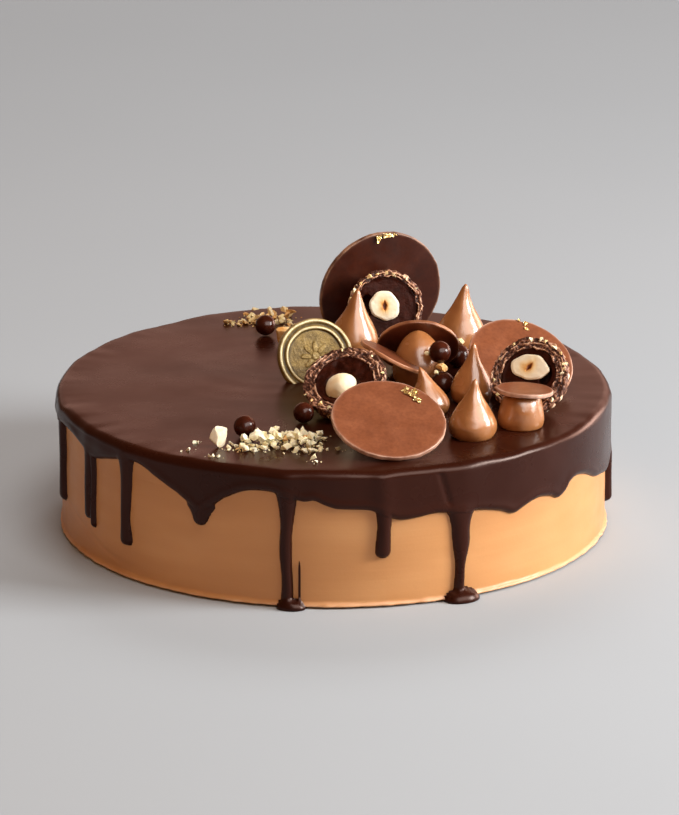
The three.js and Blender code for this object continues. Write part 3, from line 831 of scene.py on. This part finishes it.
def build_glaze():
    columns = 840
    turn = glaze_angles(columns)
    edge = skirt_edge(turn)
    around = np.stack([np.sin(np.radians(turn)), -np.cos(np.radians(turn))], axis=1)
    rim_foot = GLAZE_TOP - GLAZE_RIM

    def ring(radius, z):
        """One point a column; the radius and the height are one number, or a number a column."""
        radius, z = np.broadcast_to(radius, columns), np.broadcast_to(z, columns)
        return np.concatenate([around * radius[:, None], z[:, None]], axis=1)

    # The top and its rounded rim: radius, height, and how far each ring faces outwards.
    top = [(radius, GLAZE_TOP, 0.0) for radius in (*range(6, 96, 3), 98, 100)]
    for a in np.radians([90, 78, 66, 54, 42, 30, 18, 6]):
        out, up = math.cos(a), math.sin(a)
        top.append((GLAZE_R - GLAZE_RIM + GLAZE_RIM * out, rim_foot + GLAZE_RIM * up, out))
    thick, _ = glaze_thickness(turn, np.full(columns, rim_foot))
    brim = ring(GLAZE_R, 0)
    wave = layers(brim, 27, (0.42, 17), (0.16, 6))
    rings = []
    for radius, z, out in top:
        flat = ring(radius, z)
        extra = np.clip(thick - SKIRT_STAND, 0, None) * out
        sway = layers(flat, 21, (0.16, 26), (0.04, 9))
        # Faint arcs where a spatula went round.
        arc = np.hypot(flat[:, 0] + 24, flat[:, 1] - 23)
        sway += 0.03 * np.cos(arc * 0.55) * smooth_step(-arc, -52, -40) * smooth_step(arc, 8, 16)
        swell = 0.25 * out * noise(flat * [1, 1, 0], 22, 23)
        flat[:, 2] += wave * float(smooth_step(radius, 90, 102)) * (z - rim_foot) / GLAZE_RIM
        flat[:, 2] += sway * (1 - out) + 0.35 * extra * (1 - out)
        flat[:, :2] += around * (extra + swell)[:, None]
        rings.append(flat)

    # The skirt down to just below its edge, closely spaced at the edge, and the drips down to the foot.
    heights = [rim_foot + (edge + 2.8 - rim_foot) * s for s in np.linspace(0, 1, 22)]
    heights += [edge + 2.8 - 3.4 * s for s in np.linspace(0, 1, 9)[1:]]
    heights += [(edge - 0.6) * (1 - s) + 0.15 * s for s in np.linspace(0, 1, 44)[1:]]
    for z in heights:
        thick, inside = glaze_thickness(turn, z)
        flat = ring(BODY_R, z)
        sway = 0.25 * noise(flat * [1, 1, 0], 22, 23) * smooth_step(inside, 0.5, 4)
        sway += 0.1 * noise(flat, 9, 24) * (thick > 0.3)
        rings.append(ring(BODY_R + np.clip(thick, -0.9, None) + sway, z))

    # The inner side, hidden by the body, closes the shell.
    for inwards, z in ((2, 0.2), (2, 25), (2.4, 46.5), (6, GLAZE_INNER_TOP)):
        rings.append(ring(BODY_R - inwards, z))
    rings.append(ring(40, GLAZE_INNER_TOP))
    points, faces = close_rings((0, 0, GLAZE_TOP), rings, (0, 0, GLAZE_INNER_TOP))
    add_piece("look_ganache_glaze", points, faces, GANACHE, ["ganache_glaze"])


# ---- nuts


def mesh_data(bm):
    """Points and faces of a bmesh, which is freed."""
    points = np.array([v.co[:] for v in bm.verts])
    faces = [tuple(v.index for v in f.verts) for f in bm.faces]
    bm.free()
    return points, faces


def direction(rng):
    """A random direction."""
    return Vector((rng.gauss(0, 1), rng.gauss(0, 1), rng.gauss(0, 1))).normalized()


def shard(rng, size, rough=0.28):
    """A broken piece of nut: the hull of a few points on an uneven lump, with its edges softened."""
    bm = bmesh.new()
    for _ in range(11):
        v = direction(rng)
        v *= 1 - rough * rng.random()
        bm.verts.new((v.x * size[0] / 2, v.y * size[1] / 2, v.z * size[2] / 2))
    hull = bmesh.ops.convex_hull(bm, input=bm.verts)
    buried = [g for g in hull["geom_interior"] if isinstance(g, bmesh.types.BMVert)]
    bmesh.ops.delete(bm, geom=buried, context="VERTS")
    bmesh.ops.bevel(
        bm, geom=list(bm.edges), offset=min(size) * 0.07, segments=2, profile=0.6,
        affect="EDGES", clamp_overlap=True,
    )
    bmesh.ops.triangulate(bm, faces=bm.faces)
    bm.verts.index_update()
    return mesh_data(bm)


def spin(points, rng, tilt):
    """The points tilted a little and turned anyhow."""
    a, b, c = rng.uniform(-tilt, tilt), rng.uniform(-tilt, tilt), rng.uniform(0, 2 * math.pi)
    ca, sa, cb, sb, cc, sc = (f(x) for x in (a, b, c) for f in (math.cos, math.sin))
    rx = np.array([[1, 0, 0], [0, ca, -sa], [0, sa, ca]])
    ry = np.array([[cb, 0, sb], [0, 1, 0], [-sb, 0, cb]])
    rz = np.array([[cc, -sc, 0], [sc, cc, 0], [0, 0, 1]])
    return points @ (rx @ ry @ rz).T


class Heap:
    """Many small meshes that become one."""

    def __init__(self):
        self.points, self.faces, self.tones, self.count = [], [], [], 0

    def add(self, points, faces, tone):
        self.points.append(points)
        self.faces += [tuple(i + self.count for i in face) for face in faces]
        self.tones.append(np.full(len(points), tone))
        self.count += len(points)

    def piece(self, name, mat, slot, nodes=()):
        points, tones = np.concatenate(self.points), np.concatenate(self.tones)
        add_piece(name, points, self.faces, mat, nodes, tones, smooth=False)


def free_place(rng, middle, spread, width, placed):
    """The first free of twelve places drawn in a heap, or the one with the most room."""
    best = None
    for _ in range(12):
        x = middle[0] + spread[0] * rng.uniform(-1, 1)
        y = middle[1] + spread[1] * rng.uniform(-1, 1)
        gaps = [math.hypot(x - px, y - py) - (w + width) * 0.36 for px, py, w in placed]
        room = min(gaps or [9])
        if best is None or room > best[0]:
            best = (room, x, y)
        if room > 0:
            break
    return best


def build_crumbs():
    rng = random.Random(41)
    heap = Heap()
    placed = []
    for middle, spread, count, size in CRUMB_HEAPS:
        for _ in range(count):
            width = size * rng.uniform(0.75, 1.3)
            dims = (width, width * rng.uniform(0.6, 0.95), width * rng.uniform(0.5, 0.85))
            points, faces = shard(rng, dims, 0.42)
            points = spin(points, rng, 0.7)
            room, x, y = free_place(rng, middle, spread, width, placed)
            lift = 0.0 if room > -0.25 * width else 0.45 * width
            placed.append((x, y, width))
            low = points[:, 2].min()
            golden = y > 40 or x > 30
            tone = rng.uniform(0.25, 0.8) if golden else rng.uniform(0.75, 1.0)
            if rng.random() < 0.06:
                tone = rng.uniform(0.2, 0.4)
            heap.add(points + [x, y, GLAZE_TOP - low - 0.35 + lift], faces, tone)
            # Dust and splinters round each piece.
            for _ in range(2):
                bit = rng.uniform(0.5, 1.3)
                points, faces = shard(rng, (bit, bit * 0.8, bit * 0.6))
                a, d = rng.uniform(0, 6.28), width * rng.uniform(0.45, 0.85)
                spot = [x + d * math.cos(a), y + d * math.sin(a), GLAZE_TOP + bit * 0.15]
                heap.add(spin(points, rng, 0.6) + spot, faces, tone * 0.9)
    heap.piece("look_chopped_nuts", CRUMB, "hazelnut", ["ganache_glaze"])


def build_nut_chunk(name, centre, size, turn, seed, lightness):
    rng = random.Random(seed)
    bm = bmesh.new()
    bmesh.ops.create_icosphere(bm, subdivisions=4, radius=0.5)
    points, faces = mesh_data(bm)
    cuts = [unit((rng.gauss(0, 1), rng.gauss(0, 1), rng.gauss(0, 0.8))) for _ in range(12)]
    depths = [rng.uniform(0.17, 0.3) for _ in cuts]
    for normal, depth in zip(cuts, depths):
        over = points @ normal - depth
        points -= np.clip(over, 0, None)[:, None] * normal * 0.97
    tone = lightness - 0.25 * np.abs(noise(points, 0.14, seed))
    points *= (1 + 0.035 * noise(points, 0.2, seed + 1))[:, None]
    points = turned(points * np.array(size) * 1.32, math.radians(turn))
    x, y, z = centre
    points += [x, y, z if z > PERCHED_ABOVE else GLAZE_TOP - points[:, 2].min() - 0.3]
    add_piece("look_" + name, points, faces, NUT, [name], tone, smooth=False)


# ---- truffles


def crust_bumps(rng, radius, pale):
    """Centres, radii, heights and tones of the nut bits that lie in the crust."""
    for _ in range(230):
        v = direction(rng)
        if v.z > 0.02:
            v.z = -v.z
        light = rng.random() < pale
        size, height = rng.uniform(0.8, 1.9), rng.uniform(0.35, 1.0)
        tone = rng.uniform(0.72, 1.0) if light else rng.uniform(0.2, 0.5)
        yield np.array(v[:]) * radius, size, height, tone


def build_crust(name, t):
    rng, seed = random.Random(t["seed"]), t["seed"]
    outer, inside = t["radius"] - 0.35, t["inside"]
    cols, shell_rows = 264, 46
    rings = arc(outer, -86, -2, shell_rows)
    rings += [(r, 0.0) for r in np.linspace(outer, inside, 20)]
    rings += [(inside, -0.5), (inside, -1.2), (inside - 0.1, -2.4)]
    rings += arc(inside, -20, -86, 8)
    points, faces = revolve([(0, -outer), *rings, (0, -inside)], cols)
    length = np.linalg.norm(points, axis=1)
    radius, turn, z = off_axis(points), around_axis(points), points[:, 2]
    shell = np.arange(len(points)) <= shell_rows * cols
    on_cut = (np.abs(z) < 0.01) & (radius > inside - 0.01)

    tone = 0.33 + layers(points, seed, (0.2, 1.1), (0.16, 0.5))
    lift = np.zeros(len(points))
    for centre, size, height, light in crust_bumps(rng, outer, t["pale"]):
        near = np.linalg.norm(points - centre, axis=1) / size
        hit = near < 1
        dome = np.sqrt(np.clip(1 - near[hit] ** 2, 0, 1))
        higher = height * dome > lift[hit]
        index = np.where(hit)[0][higher]
        lift[index] = (height * dome)[higher]
        # Each bit is painted darker towards its foot, as painted shade where it meets the crust.
        tone[index] = light - 0.25 * (1 - dome[higher])
    outward = points / np.maximum(length, 1e-6)[:, None]
    rough = layers(points, seed + 2, (0.3, 0.9), (0.18, 0.45))
    edge = smooth_step(radius, inside + 0.6, outer)
    weight = np.where(shell, 1.0, np.where(on_cut, edge, 0))
    shape = points + outward * ((lift * 0.8 + rough) * weight)[:, None]

    # The cut is dark, with the pale broken lines of thin wafer layers and flakes between them.
    wander = 0.5 * ring_noise(turn, 4, seed + 4)
    lines = np.zeros(len(points))
    for k, at in enumerate((inside + 0.35, inside * 0.45 + outer * 0.55, outer - 0.75)):
        broken = smooth_step(ring_noise(turn, 7, seed + 20 + k, k), -0.5, 0.1)
        lines = np.maximum(lines, broken * bell(radius - at - wander * (k > 0), 0.3))
    cell = np.stack([turn * 9, radius * 1.5, z], axis=1)
    flake = bell(noise(cell, 1.0, seed + 5), 0.16) * smooth_step(noise(points, 2.0, seed + 25), -0.35, 0.2)
    cross = bell(noise(cell * [2.2, 0.6, 1], 1.0, seed + 26), 0.14) * 0.6
    grit = noise(points, 0.7, seed + 6)
    shape[:, 2] += np.where(on_cut, 0.5 * lines + 0.4 * flake + 0.25 * grit - 0.3, 0)
    cut_tone = 0.13 + 0.1 * grit + 0.55 * np.maximum(lines, np.maximum(flake * 0.75, cross * 0.8))
    bit_tone = np.where(lift > 0.35, tone * 0.5 + cut_tone * 0.5, cut_tone)
    tone = np.where(on_cut, bit_tone, tone)
    # A frayed inner lip, so that the wafer's ring isn't a clean circle.
    frayed = 0.45 * ring_noise(turn, 6, seed + 7) * bell(radius - inside, 0.9) * (z > -1.5)
    shape[:, :2] += outward[:, :2] * frayed[:, None]
    world = place(shape, t["centre"], t["facing"], SEAT - 0.5)
    add_piece("look_" + name + "_crust", world, faces, CRUST, [name + "_crust"], tone)


def build_cream(name, t):
    """A flat cut with knife marks, a seat round the nut and a dark hollow or small pits."""
    seed = t["seed"]
    inner = t["inside"] - 0.12
    rings = arc(inner, -84, -6, 12, -0.4)
    rings += [(r, -0.42) for r in np.linspace(0, inner, 44)[:0:-1]]
    points, faces = revolve([(0, -inner - 0.4), *rings, (0, -0.42)], 144)
    x, y, top = points[:, 0], points[:, 1], points[:, 2] > -0.45
    nut_x, nut_y, _ = t["nut"]
    height = 0.16 * noise(points, 2.4, seed + 10) + 0.07 * noise(points * [1, 5, 1], 1.0, seed + 11)
    height -= 0.25 * smooth_step(-off_axis(points), -inner, -inner + 1.4)
    if t["cut"]:
        to_nut = np.hypot((x - nut_x) / t["nut_radii"][0], (y - nut_y) / t["nut_radii"][1])
        hollow_x, hollow_y = nut_x + t["hollow"][0], nut_y + t["hollow"][1]
        hollow = np.hypot((x - hollow_x) / 2.5, (y - hollow_y) / 4.2)
        height -= 4.4 * np.clip(1 - hollow**2, 0, 1) ** 0.5
        height -= 1.2 * smooth_step(-to_nut, -1.0, -0.93)
    else:
        seat = np.hypot((x - nut_x - 0.4) / 7.2, (y - nut_y + 0.5) / 6.8)
        height -= 1.5 * np.clip(1 - seat**2, 0, 1) ** 0.6
        height += 0.35 * noise(points, 1.6, seed + 12) * (seat > 0.9)
        for k in range(3):
            a = 2.2 + k * 1.9
            pit = np.hypot(x - 8.6 * math.cos(a), y - 8.0 * math.sin(a))
            height -= 0.8 * bell(pit, 1.2)
    points[:, 2] += np.where(top, height, 0)
    world = place(points, t["centre"], t["facing"], SEAT)
    add_piece("look_" + name + "_cream", world, faces, CREAM, [name + "_cream"])


def cut_nut(t):
    """Half a hazelnut with its hollow heart."""
    seed = t["seed"]
    face = [(s, 0.0) for s in np.linspace(1, 0.04, 26)]
    points, faces = revolve([(0, -1), *arc(1, -84, -5, 12), *face, (0, 0)], 96)
    top = points[:, 2] > -0.001
    turn, r = around_axis(points), off_axis(points)
    uneven = 1 + 0.045 * np.sin(2 * turn + seed) + 0.03 * np.sin(3 * turn + 1.3 * seed)
    uneven += 0.02 * np.sin(7 * turn)
    across_nut, up_nut = t["nut_radii"]
    points[:, 0] *= uneven * across_nut
    points[:, 1] *= uneven * up_nut
    points[:, 2] *= up_nut * 0.9
    dx, dy, _ = turned(points, -math.radians(t["turn"])).T
    heart = smooth_step(-(np.abs(dx) / 0.9 + np.abs(dy) / 2.2), -1.4, -0.5)
    tone = 0.97 - 0.72 * bell(dx, 2.0) * bell(dy, 2.9) - 0.25 * heart
    if t["turn"]:
        # The turned nut has a dark spot at its left and a beak at its right.
        tone -= 0.28 * bell(points[:, 0] + 2.9, 1.3) * bell(points[:, 1] - 0.3, 1.5)
        points[:, 0] += 1.1 * bell(turn + 0.1, 0.28) * smooth_step(r, 0.55, 1.0)
    tone += 0.05 * noise(points, 1.5, seed + 14)
    relief = 0.12 - 0.55 * heart - 0.35 * smooth_step(r, 0.86, 1.0)
    relief += 0.06 * noise(points, 1.3, seed + 13)
    points[:, 2] += np.where(top, relief, 0)
    points += [t["nut"][0], t["nut"][1], 0]
    return points, faces, np.where(top, tone, 0.55)


def whole_nut(t):
    """A skinned hazelnut that stands out of the cream."""
    seed = t["seed"]
    points, faces = sphere(40, 72)
    points[:, 2] = np.where(points[:, 2] > 0, points[:, 2] * 1.12, points[:, 2])
    points[:, 0] *= 1.06
    points *= 1 + layers(points, seed, (0.03, 0.6), (0.012, 0.2))[:, None]
    # The lower part is painted darker, as painted shade where the nut sits down in the cream.
    tone = 0.86 + 0.08 * noise(points, 0.5, seed) - 0.25 * smooth_step(-points[:, 2], -0.3, 0.4)
    points = turned(points * [*t["nut_radii"], 6.0], math.radians(t["turn"]))
    return points + t["nut"], faces, tone


def build_truffle(name, t):
    build_crust(name, t)
    build_cream(name, t)
    points, faces, tone = cut_nut(t) if t["cut"] else whole_nut(t)
    world = place(points, t["centre"], t["facing"])
    add_piece("look_" + name + "_hazelnut", world, faces, NUT, [name + "_hazelnut"], tone)


def build_crust_bits():
    rng = random.Random(77)
    heap = Heap()
    for name, bits in CRUST_BITS.items():
        t = TRUFFLES[name]
        for degrees, distance, size in bits:
            a = math.radians(degrees)
            points, faces = shard(rng, (size * 1.25, size, size * 0.9), 0.2)
            points = spin(points, rng, 1.0)
            points += [distance * math.cos(a), distance * math.sin(a), rng.uniform(-0.5, 0.1)]
            heap.add(place(points, t["centre"], t["facing"]), faces, rng.uniform(0.3, 0.8))
        for _ in range(70):
            a, tilt = rng.uniform(0, 2 * math.pi), math.radians(rng.uniform(-60, 2))
            size = rng.uniform(0.7, 1.7)
            points, faces = shard(rng, (size, size * 0.7, size * 0.6), 0.25)
            out = np.array([math.cos(a) * math.cos(tilt), math.sin(a) * math.cos(tilt), math.sin(tilt)])
            points = spin(points, rng, 1.5) + out * (t["radius"] - 0.1)
            points = place(points, t["centre"], t["facing"])
            if points[:, 2].min() > SEAT:
                tone = rng.uniform(0.0, 0.75) if rng.random() < 0.7 else rng.uniform(0.6, 1.0)
                heap.add(points, faces, tone)
    for centre, size in LOOSE_BITS:
        points, faces = shard(rng, (size, size * 0.9, size * 0.8), 0.15)
        heap.add(spin(points, rng, 1.0) + centre, faces, 0.7)
    heap.piece("look_crust_bits", CRUMB, "hazelnut")


# ---- discs and coin


def build_disc(name, centre, radius, thickness, facing, kind):
    half = thickness / 2
    seed = len(name) * 7 + int(radius)
    below = (0, 0.25, 0.5, 0.75, 0.9, 0.96)
    above = (0.97, 0.94, 0.9, 0.84, 0.76, 0.68, 0.6, 0.5, 0.4, 0.3, 0.2, 0.1, 0)
    profile = [
        *((radius * s, -half) for s in below), (radius - 0.35, -half), (radius - 0.1, -half + 0.12),
        (radius, -half + 0.38), (radius, half - 0.34), (radius - 0.08, half - 0.12),
        (radius - 0.3, half), *((radius * s, half) for s in above),
    ]
    points, faces = revolve(profile, 168)
    r = off_axis(points)
    flat = points * [1, 1, 0]
    points[:, 2] += layers(flat, seed, (0.22, 13), (0.05, 4))
    nick = layers(flat, seed + 2, (0.12, 1.6), (0.1, 5))
    push_out(points, nick * smooth_step(r, radius * 0.9, radius), 1)
    # The rim is painted pale in patches, a painted highlight of its lit edge.
    patchy = 0.42 + layers(flat, seed + 4, (0.3, 5), (0.15, 1.3))
    painted_rim_highlight = bell(r - radius, 0.45) * patchy
    world = place(points, centre, facing)
    if name == "disc_right":
        near = np.linalg.norm(world - CHIP, axis=1)
        world += unit(np.subtract(centre, CHIP)) * bell(near, 1.2)[:, None]
    world[:, 2] = np.maximum(world[:, 2], SEAT - SUNK)
    add_piece("look_" + name, world, faces, CHOCOLATES[kind], [name], painted_rim_highlight)


def build_coin():
    centre, radius, thickness, facing = COIN
    half = thickness / 2
    field = half - 0.9
    field_r = radius - 4.6
    # The raised rim with its two ridges: how far in from the edge, and how far below the face.
    rim = [
        (0.45, 0.5), (0.7, 0.12), (1.0, 0), (1.35, 0.02), (1.65, 0.25), (1.95, 0.6), (2.4, 0.68),
        (2.9, 0.62), (3.2, 0.25), (3.5, 0.02), (3.9, 0.04), (4.2, 0.4), (4.5, 0.9), (4.8, 0.9),
    ]
    profile = [
        (0, -half), (radius * 0.5, -half), (radius - 0.5, -half), (radius, -half + 0.4),
        (radius - 0.1, -0.2), *((radius - inwards, half - down) for inwards, down in rim),
        *((r, field) for r in np.linspace(radius - 5.1, 0.25, 34)), (0, field),
    ]
    points, faces = revolve(profile, 192)
    r, turn = off_axis(points), around_axis(points)
    # A plain rosette of eight petals stands in the field.
    petal = np.abs(np.cos(4 * turn)) ** 0.8 * 5.6
    rosette = smooth_step(petal - r, -0.35, 0.45) * smooth_step(r, 1.5, 2.2)
    button = smooth_step(1.5 - r, -0.1, 0.4)
    relief = np.where(r < field_r, 0.3 * rosette + 0.35 * button, 0)
    relief += layers(points, 3, (0.09, 0.8), (0.13, 3.5))
    inwards = radius - r
    # The ridges and the raised rosette are painted paler, as painted highlights, and the grooves darker,
    # as painted shade.
    ridges = bell(inwards - 1.15, 0.5) + bell(inwards - 3.7, 0.45)
    grooves = bell(inwards - 2.4, 0.55) + bell(inwards - 4.5, 0.3)
    tone = 0.46 + 0.5 * ridges - 0.36 * grooves
    tone += np.where(r < field_r, 0.12 * rosette + 0.12 * button - 0.04, 0)
    tone += 0.12 * noise(points, 2.6, 6)
    points[:, 2] += relief * smooth_step(points[:, 2], -0.2, 0.2)
    wavy = 1 + np.where(r > field_r, 0.012 * noise(points * [1, 1, 0], 5, 5), 0)
    points[:, :2] *= wavy[:, None]
    world = place(points, centre, facing, SEAT - SUNK)
    add_piece("look_gilded_coin", world, faces, GILDING, ["gilded_coin"], tone)


# ---- kisses and balls


def build_kiss(name, foot, radius, height, lean, profile):
    seed = sum(map(ord, name))
    line = [(radius * out, height * up) for up, out in KISS_PROFILES[profile]]
    side = dense_profile(line, 54, 4 if profile == "pointed" else 6)
    base = [(line[0][0] * share, -0.3) for share in (0, 0.6, 0.97)]
    points, faces = revolve([*base, *map(tuple, side), (0, side[-1][1] + 0.15)], 96)
    r, z = off_axis(points), points[:, 2]
    up = np.clip(z / height, 0, 1)
    swirl = 0.11 * np.sin(3 * around_axis(points) + 5.5 * up + seed)
    swirl *= np.sin(np.pi * np.clip(up * 1.1, 0, 1))
    soft = layers(points, seed, (0.28, 7.5), (0.09, 3))
    push_out(points, (swirl + soft) * smooth_step(z, 0, 1.5) * smooth_step(r, 0.3, 3), 0.2)
    points[:, 0] += lean * up**2 + 0.25 * np.sin(seed) * up**4
    points += [foot[0], foot[1], SEAT]
    add_piece("look_" + name, points, faces, KISS, [name])


def build_ball(name, x, y, z, radius):
    seed = sum(map(ord, name))
    points, faces = sphere(34, 64)
    points *= 1 + layers(points, seed, (0.02, 0.8), (0.007, 0.25))[:, None]
    # Those on the glaze are set into it a little.
    sunk = 0 if name == "ball_top" else 0.25
    points = points * radius + [x, y, z - sunk]
    add_piece("look_" + name, points, faces, PEARL, [name])


# ---- gold leaf


def flake_faces(side):
    """Faces of a thin flake: a grid of side by side points, the same grid behind it, and the edge."""
    n = side * side
    faces = []
    for i in range(side - 1):
        for j in range(side - 1):
            a = i * side + j
            faces.append((a, a + 1, a + side + 1, a + side))
            faces.append((n + a, n + a + side, n + a + side + 1, n + a + 1))
    edge = [*range(side), *range(2 * side - 1, n, side), *range(n - 2, n - side - 1, -1)]
    edge += range(n - 2 * side, 0, -side)
    return faces + [(a, n + a, n + b, b) for a, b in zip(edge, edge[1:] + edge[:1])]


def build_gold_leaf():
    rng = random.Random(9)
    heap = Heap()
    side = 9
    xs, ys = np.meshgrid(*[np.linspace(-0.5, 0.5, side)] * 2)
    plane = np.stack([xs.ravel(), ys.ravel(), xs.ravel() * 0], axis=1)
    for centre, disc, size in LEAF_FLAKES:
        ragged = 1 + 0.35 * noise(plane * 9, 2.0, int(size * 10))
        flat = plane * ragged[:, None] * [1, rng.uniform(0.5, 0.9), 1] * size
        flat[:, 2] = 0.55 * np.abs(noise(flat, 0.8, rng.randrange(99))) + 0.04
        points = turned(np.concatenate([flat, flat - [0, 0, 0.05]]), rng.uniform(0, 6.28))
        points = place(points + [0, 0, LEAF_LIFT[disc]], centre, DISCS[disc][3])
        heap.add(points, flake_faces(side), 0.8)
    heap.piece("look_gold_leaf", LEAF, "gilding")


# ---- camera, light and floor


def add_to_scene(name, data):
    thing = bpy.data.objects.new(name, data)
    bpy.context.scene.collection.objects.link(thing)
    return thing


def build_camera():
    view = math.radians(CAMERA_DEGREES_UP)
    data = bpy.data.cameras.new("camera")
    data.sensor_fit = "VERTICAL"
    data.sensor_height = SENSOR
    data.lens = FOCAL_SHARE * SENSOR
    data.clip_end = 100
    camera = add_to_scene("camera", data)
    back = Vector((0, -math.cos(view), math.sin(view)))
    camera.location = Vector(CAMERA_AIM) + back * CAMERA_DISTANCE
    camera.rotation_euler = (math.pi / 2 - view, 0, 0)
    bpy.context.scene.camera = camera


def build_light(name, location, size, power, colour, rays):
    light = bpy.data.lights.new(name, "AREA")
    light.shape = "RECTANGLE"
    light.size, light.size_y = size
    light.energy = power
    light.color = colour
    lamp = add_to_scene(name, light)
    lamp.location = location
    towards = Vector(LIGHTS_AIM) - Vector(location)
    lamp.rotation_euler = towards.to_track_quat("-Z", "Y").to_euler()
    lamp.visible_camera = False
    lamp.visible_glossy = rays != "matt"
    lamp.visible_diffuse = rays != "mirrored"


def build_surroundings():
    world = bpy.data.worlds.new("studio")
    world.use_nodes = True
    background = world.node_tree.nodes["Background"].inputs
    background["Color"].default_value = WORLD_COLOUR
    background["Strength"].default_value = WORLD_STRENGTH
    bpy.context.scene.world = world

    mesh = bpy.data.meshes.new("floor")
    corners = [(x * FLOOR_REACH, y * FLOOR_REACH, 0) for x, y in ((-1, -1), (1, -1), (1, 1), (-1, 1))]
    mesh.from_pydata(corners, [], [(0, 1, 2, 3)])
    mesh.materials.append(floor_material())
    floor = add_to_scene("floor", mesh)
    bpy.context.scene.view_settings.view_transform = "Standard"


build_camera()
for light_name, light_spec in LIGHTS.items():
    build_light(light_name, *light_spec)
build_surroundings()
build_body()
build_glaze()
build_crumbs()
for nut_name, nut in NUT_CHUNKS.items():
    build_nut_chunk(nut_name, *nut)
for truffle_name, truffle in TRUFFLES.items():
    build_truffle(truffle_name, truffle)
build_crust_bits()
for disc_name, disc in DISCS.items():
    build_disc(disc_name, *disc)
build_coin()
for kiss_name, kiss in KISSES.items():
    build_kiss(kiss_name, *kiss)
for ball_name, ball in BALLS.items():
    build_ball(ball_name, *ball)
build_gold_leaf()
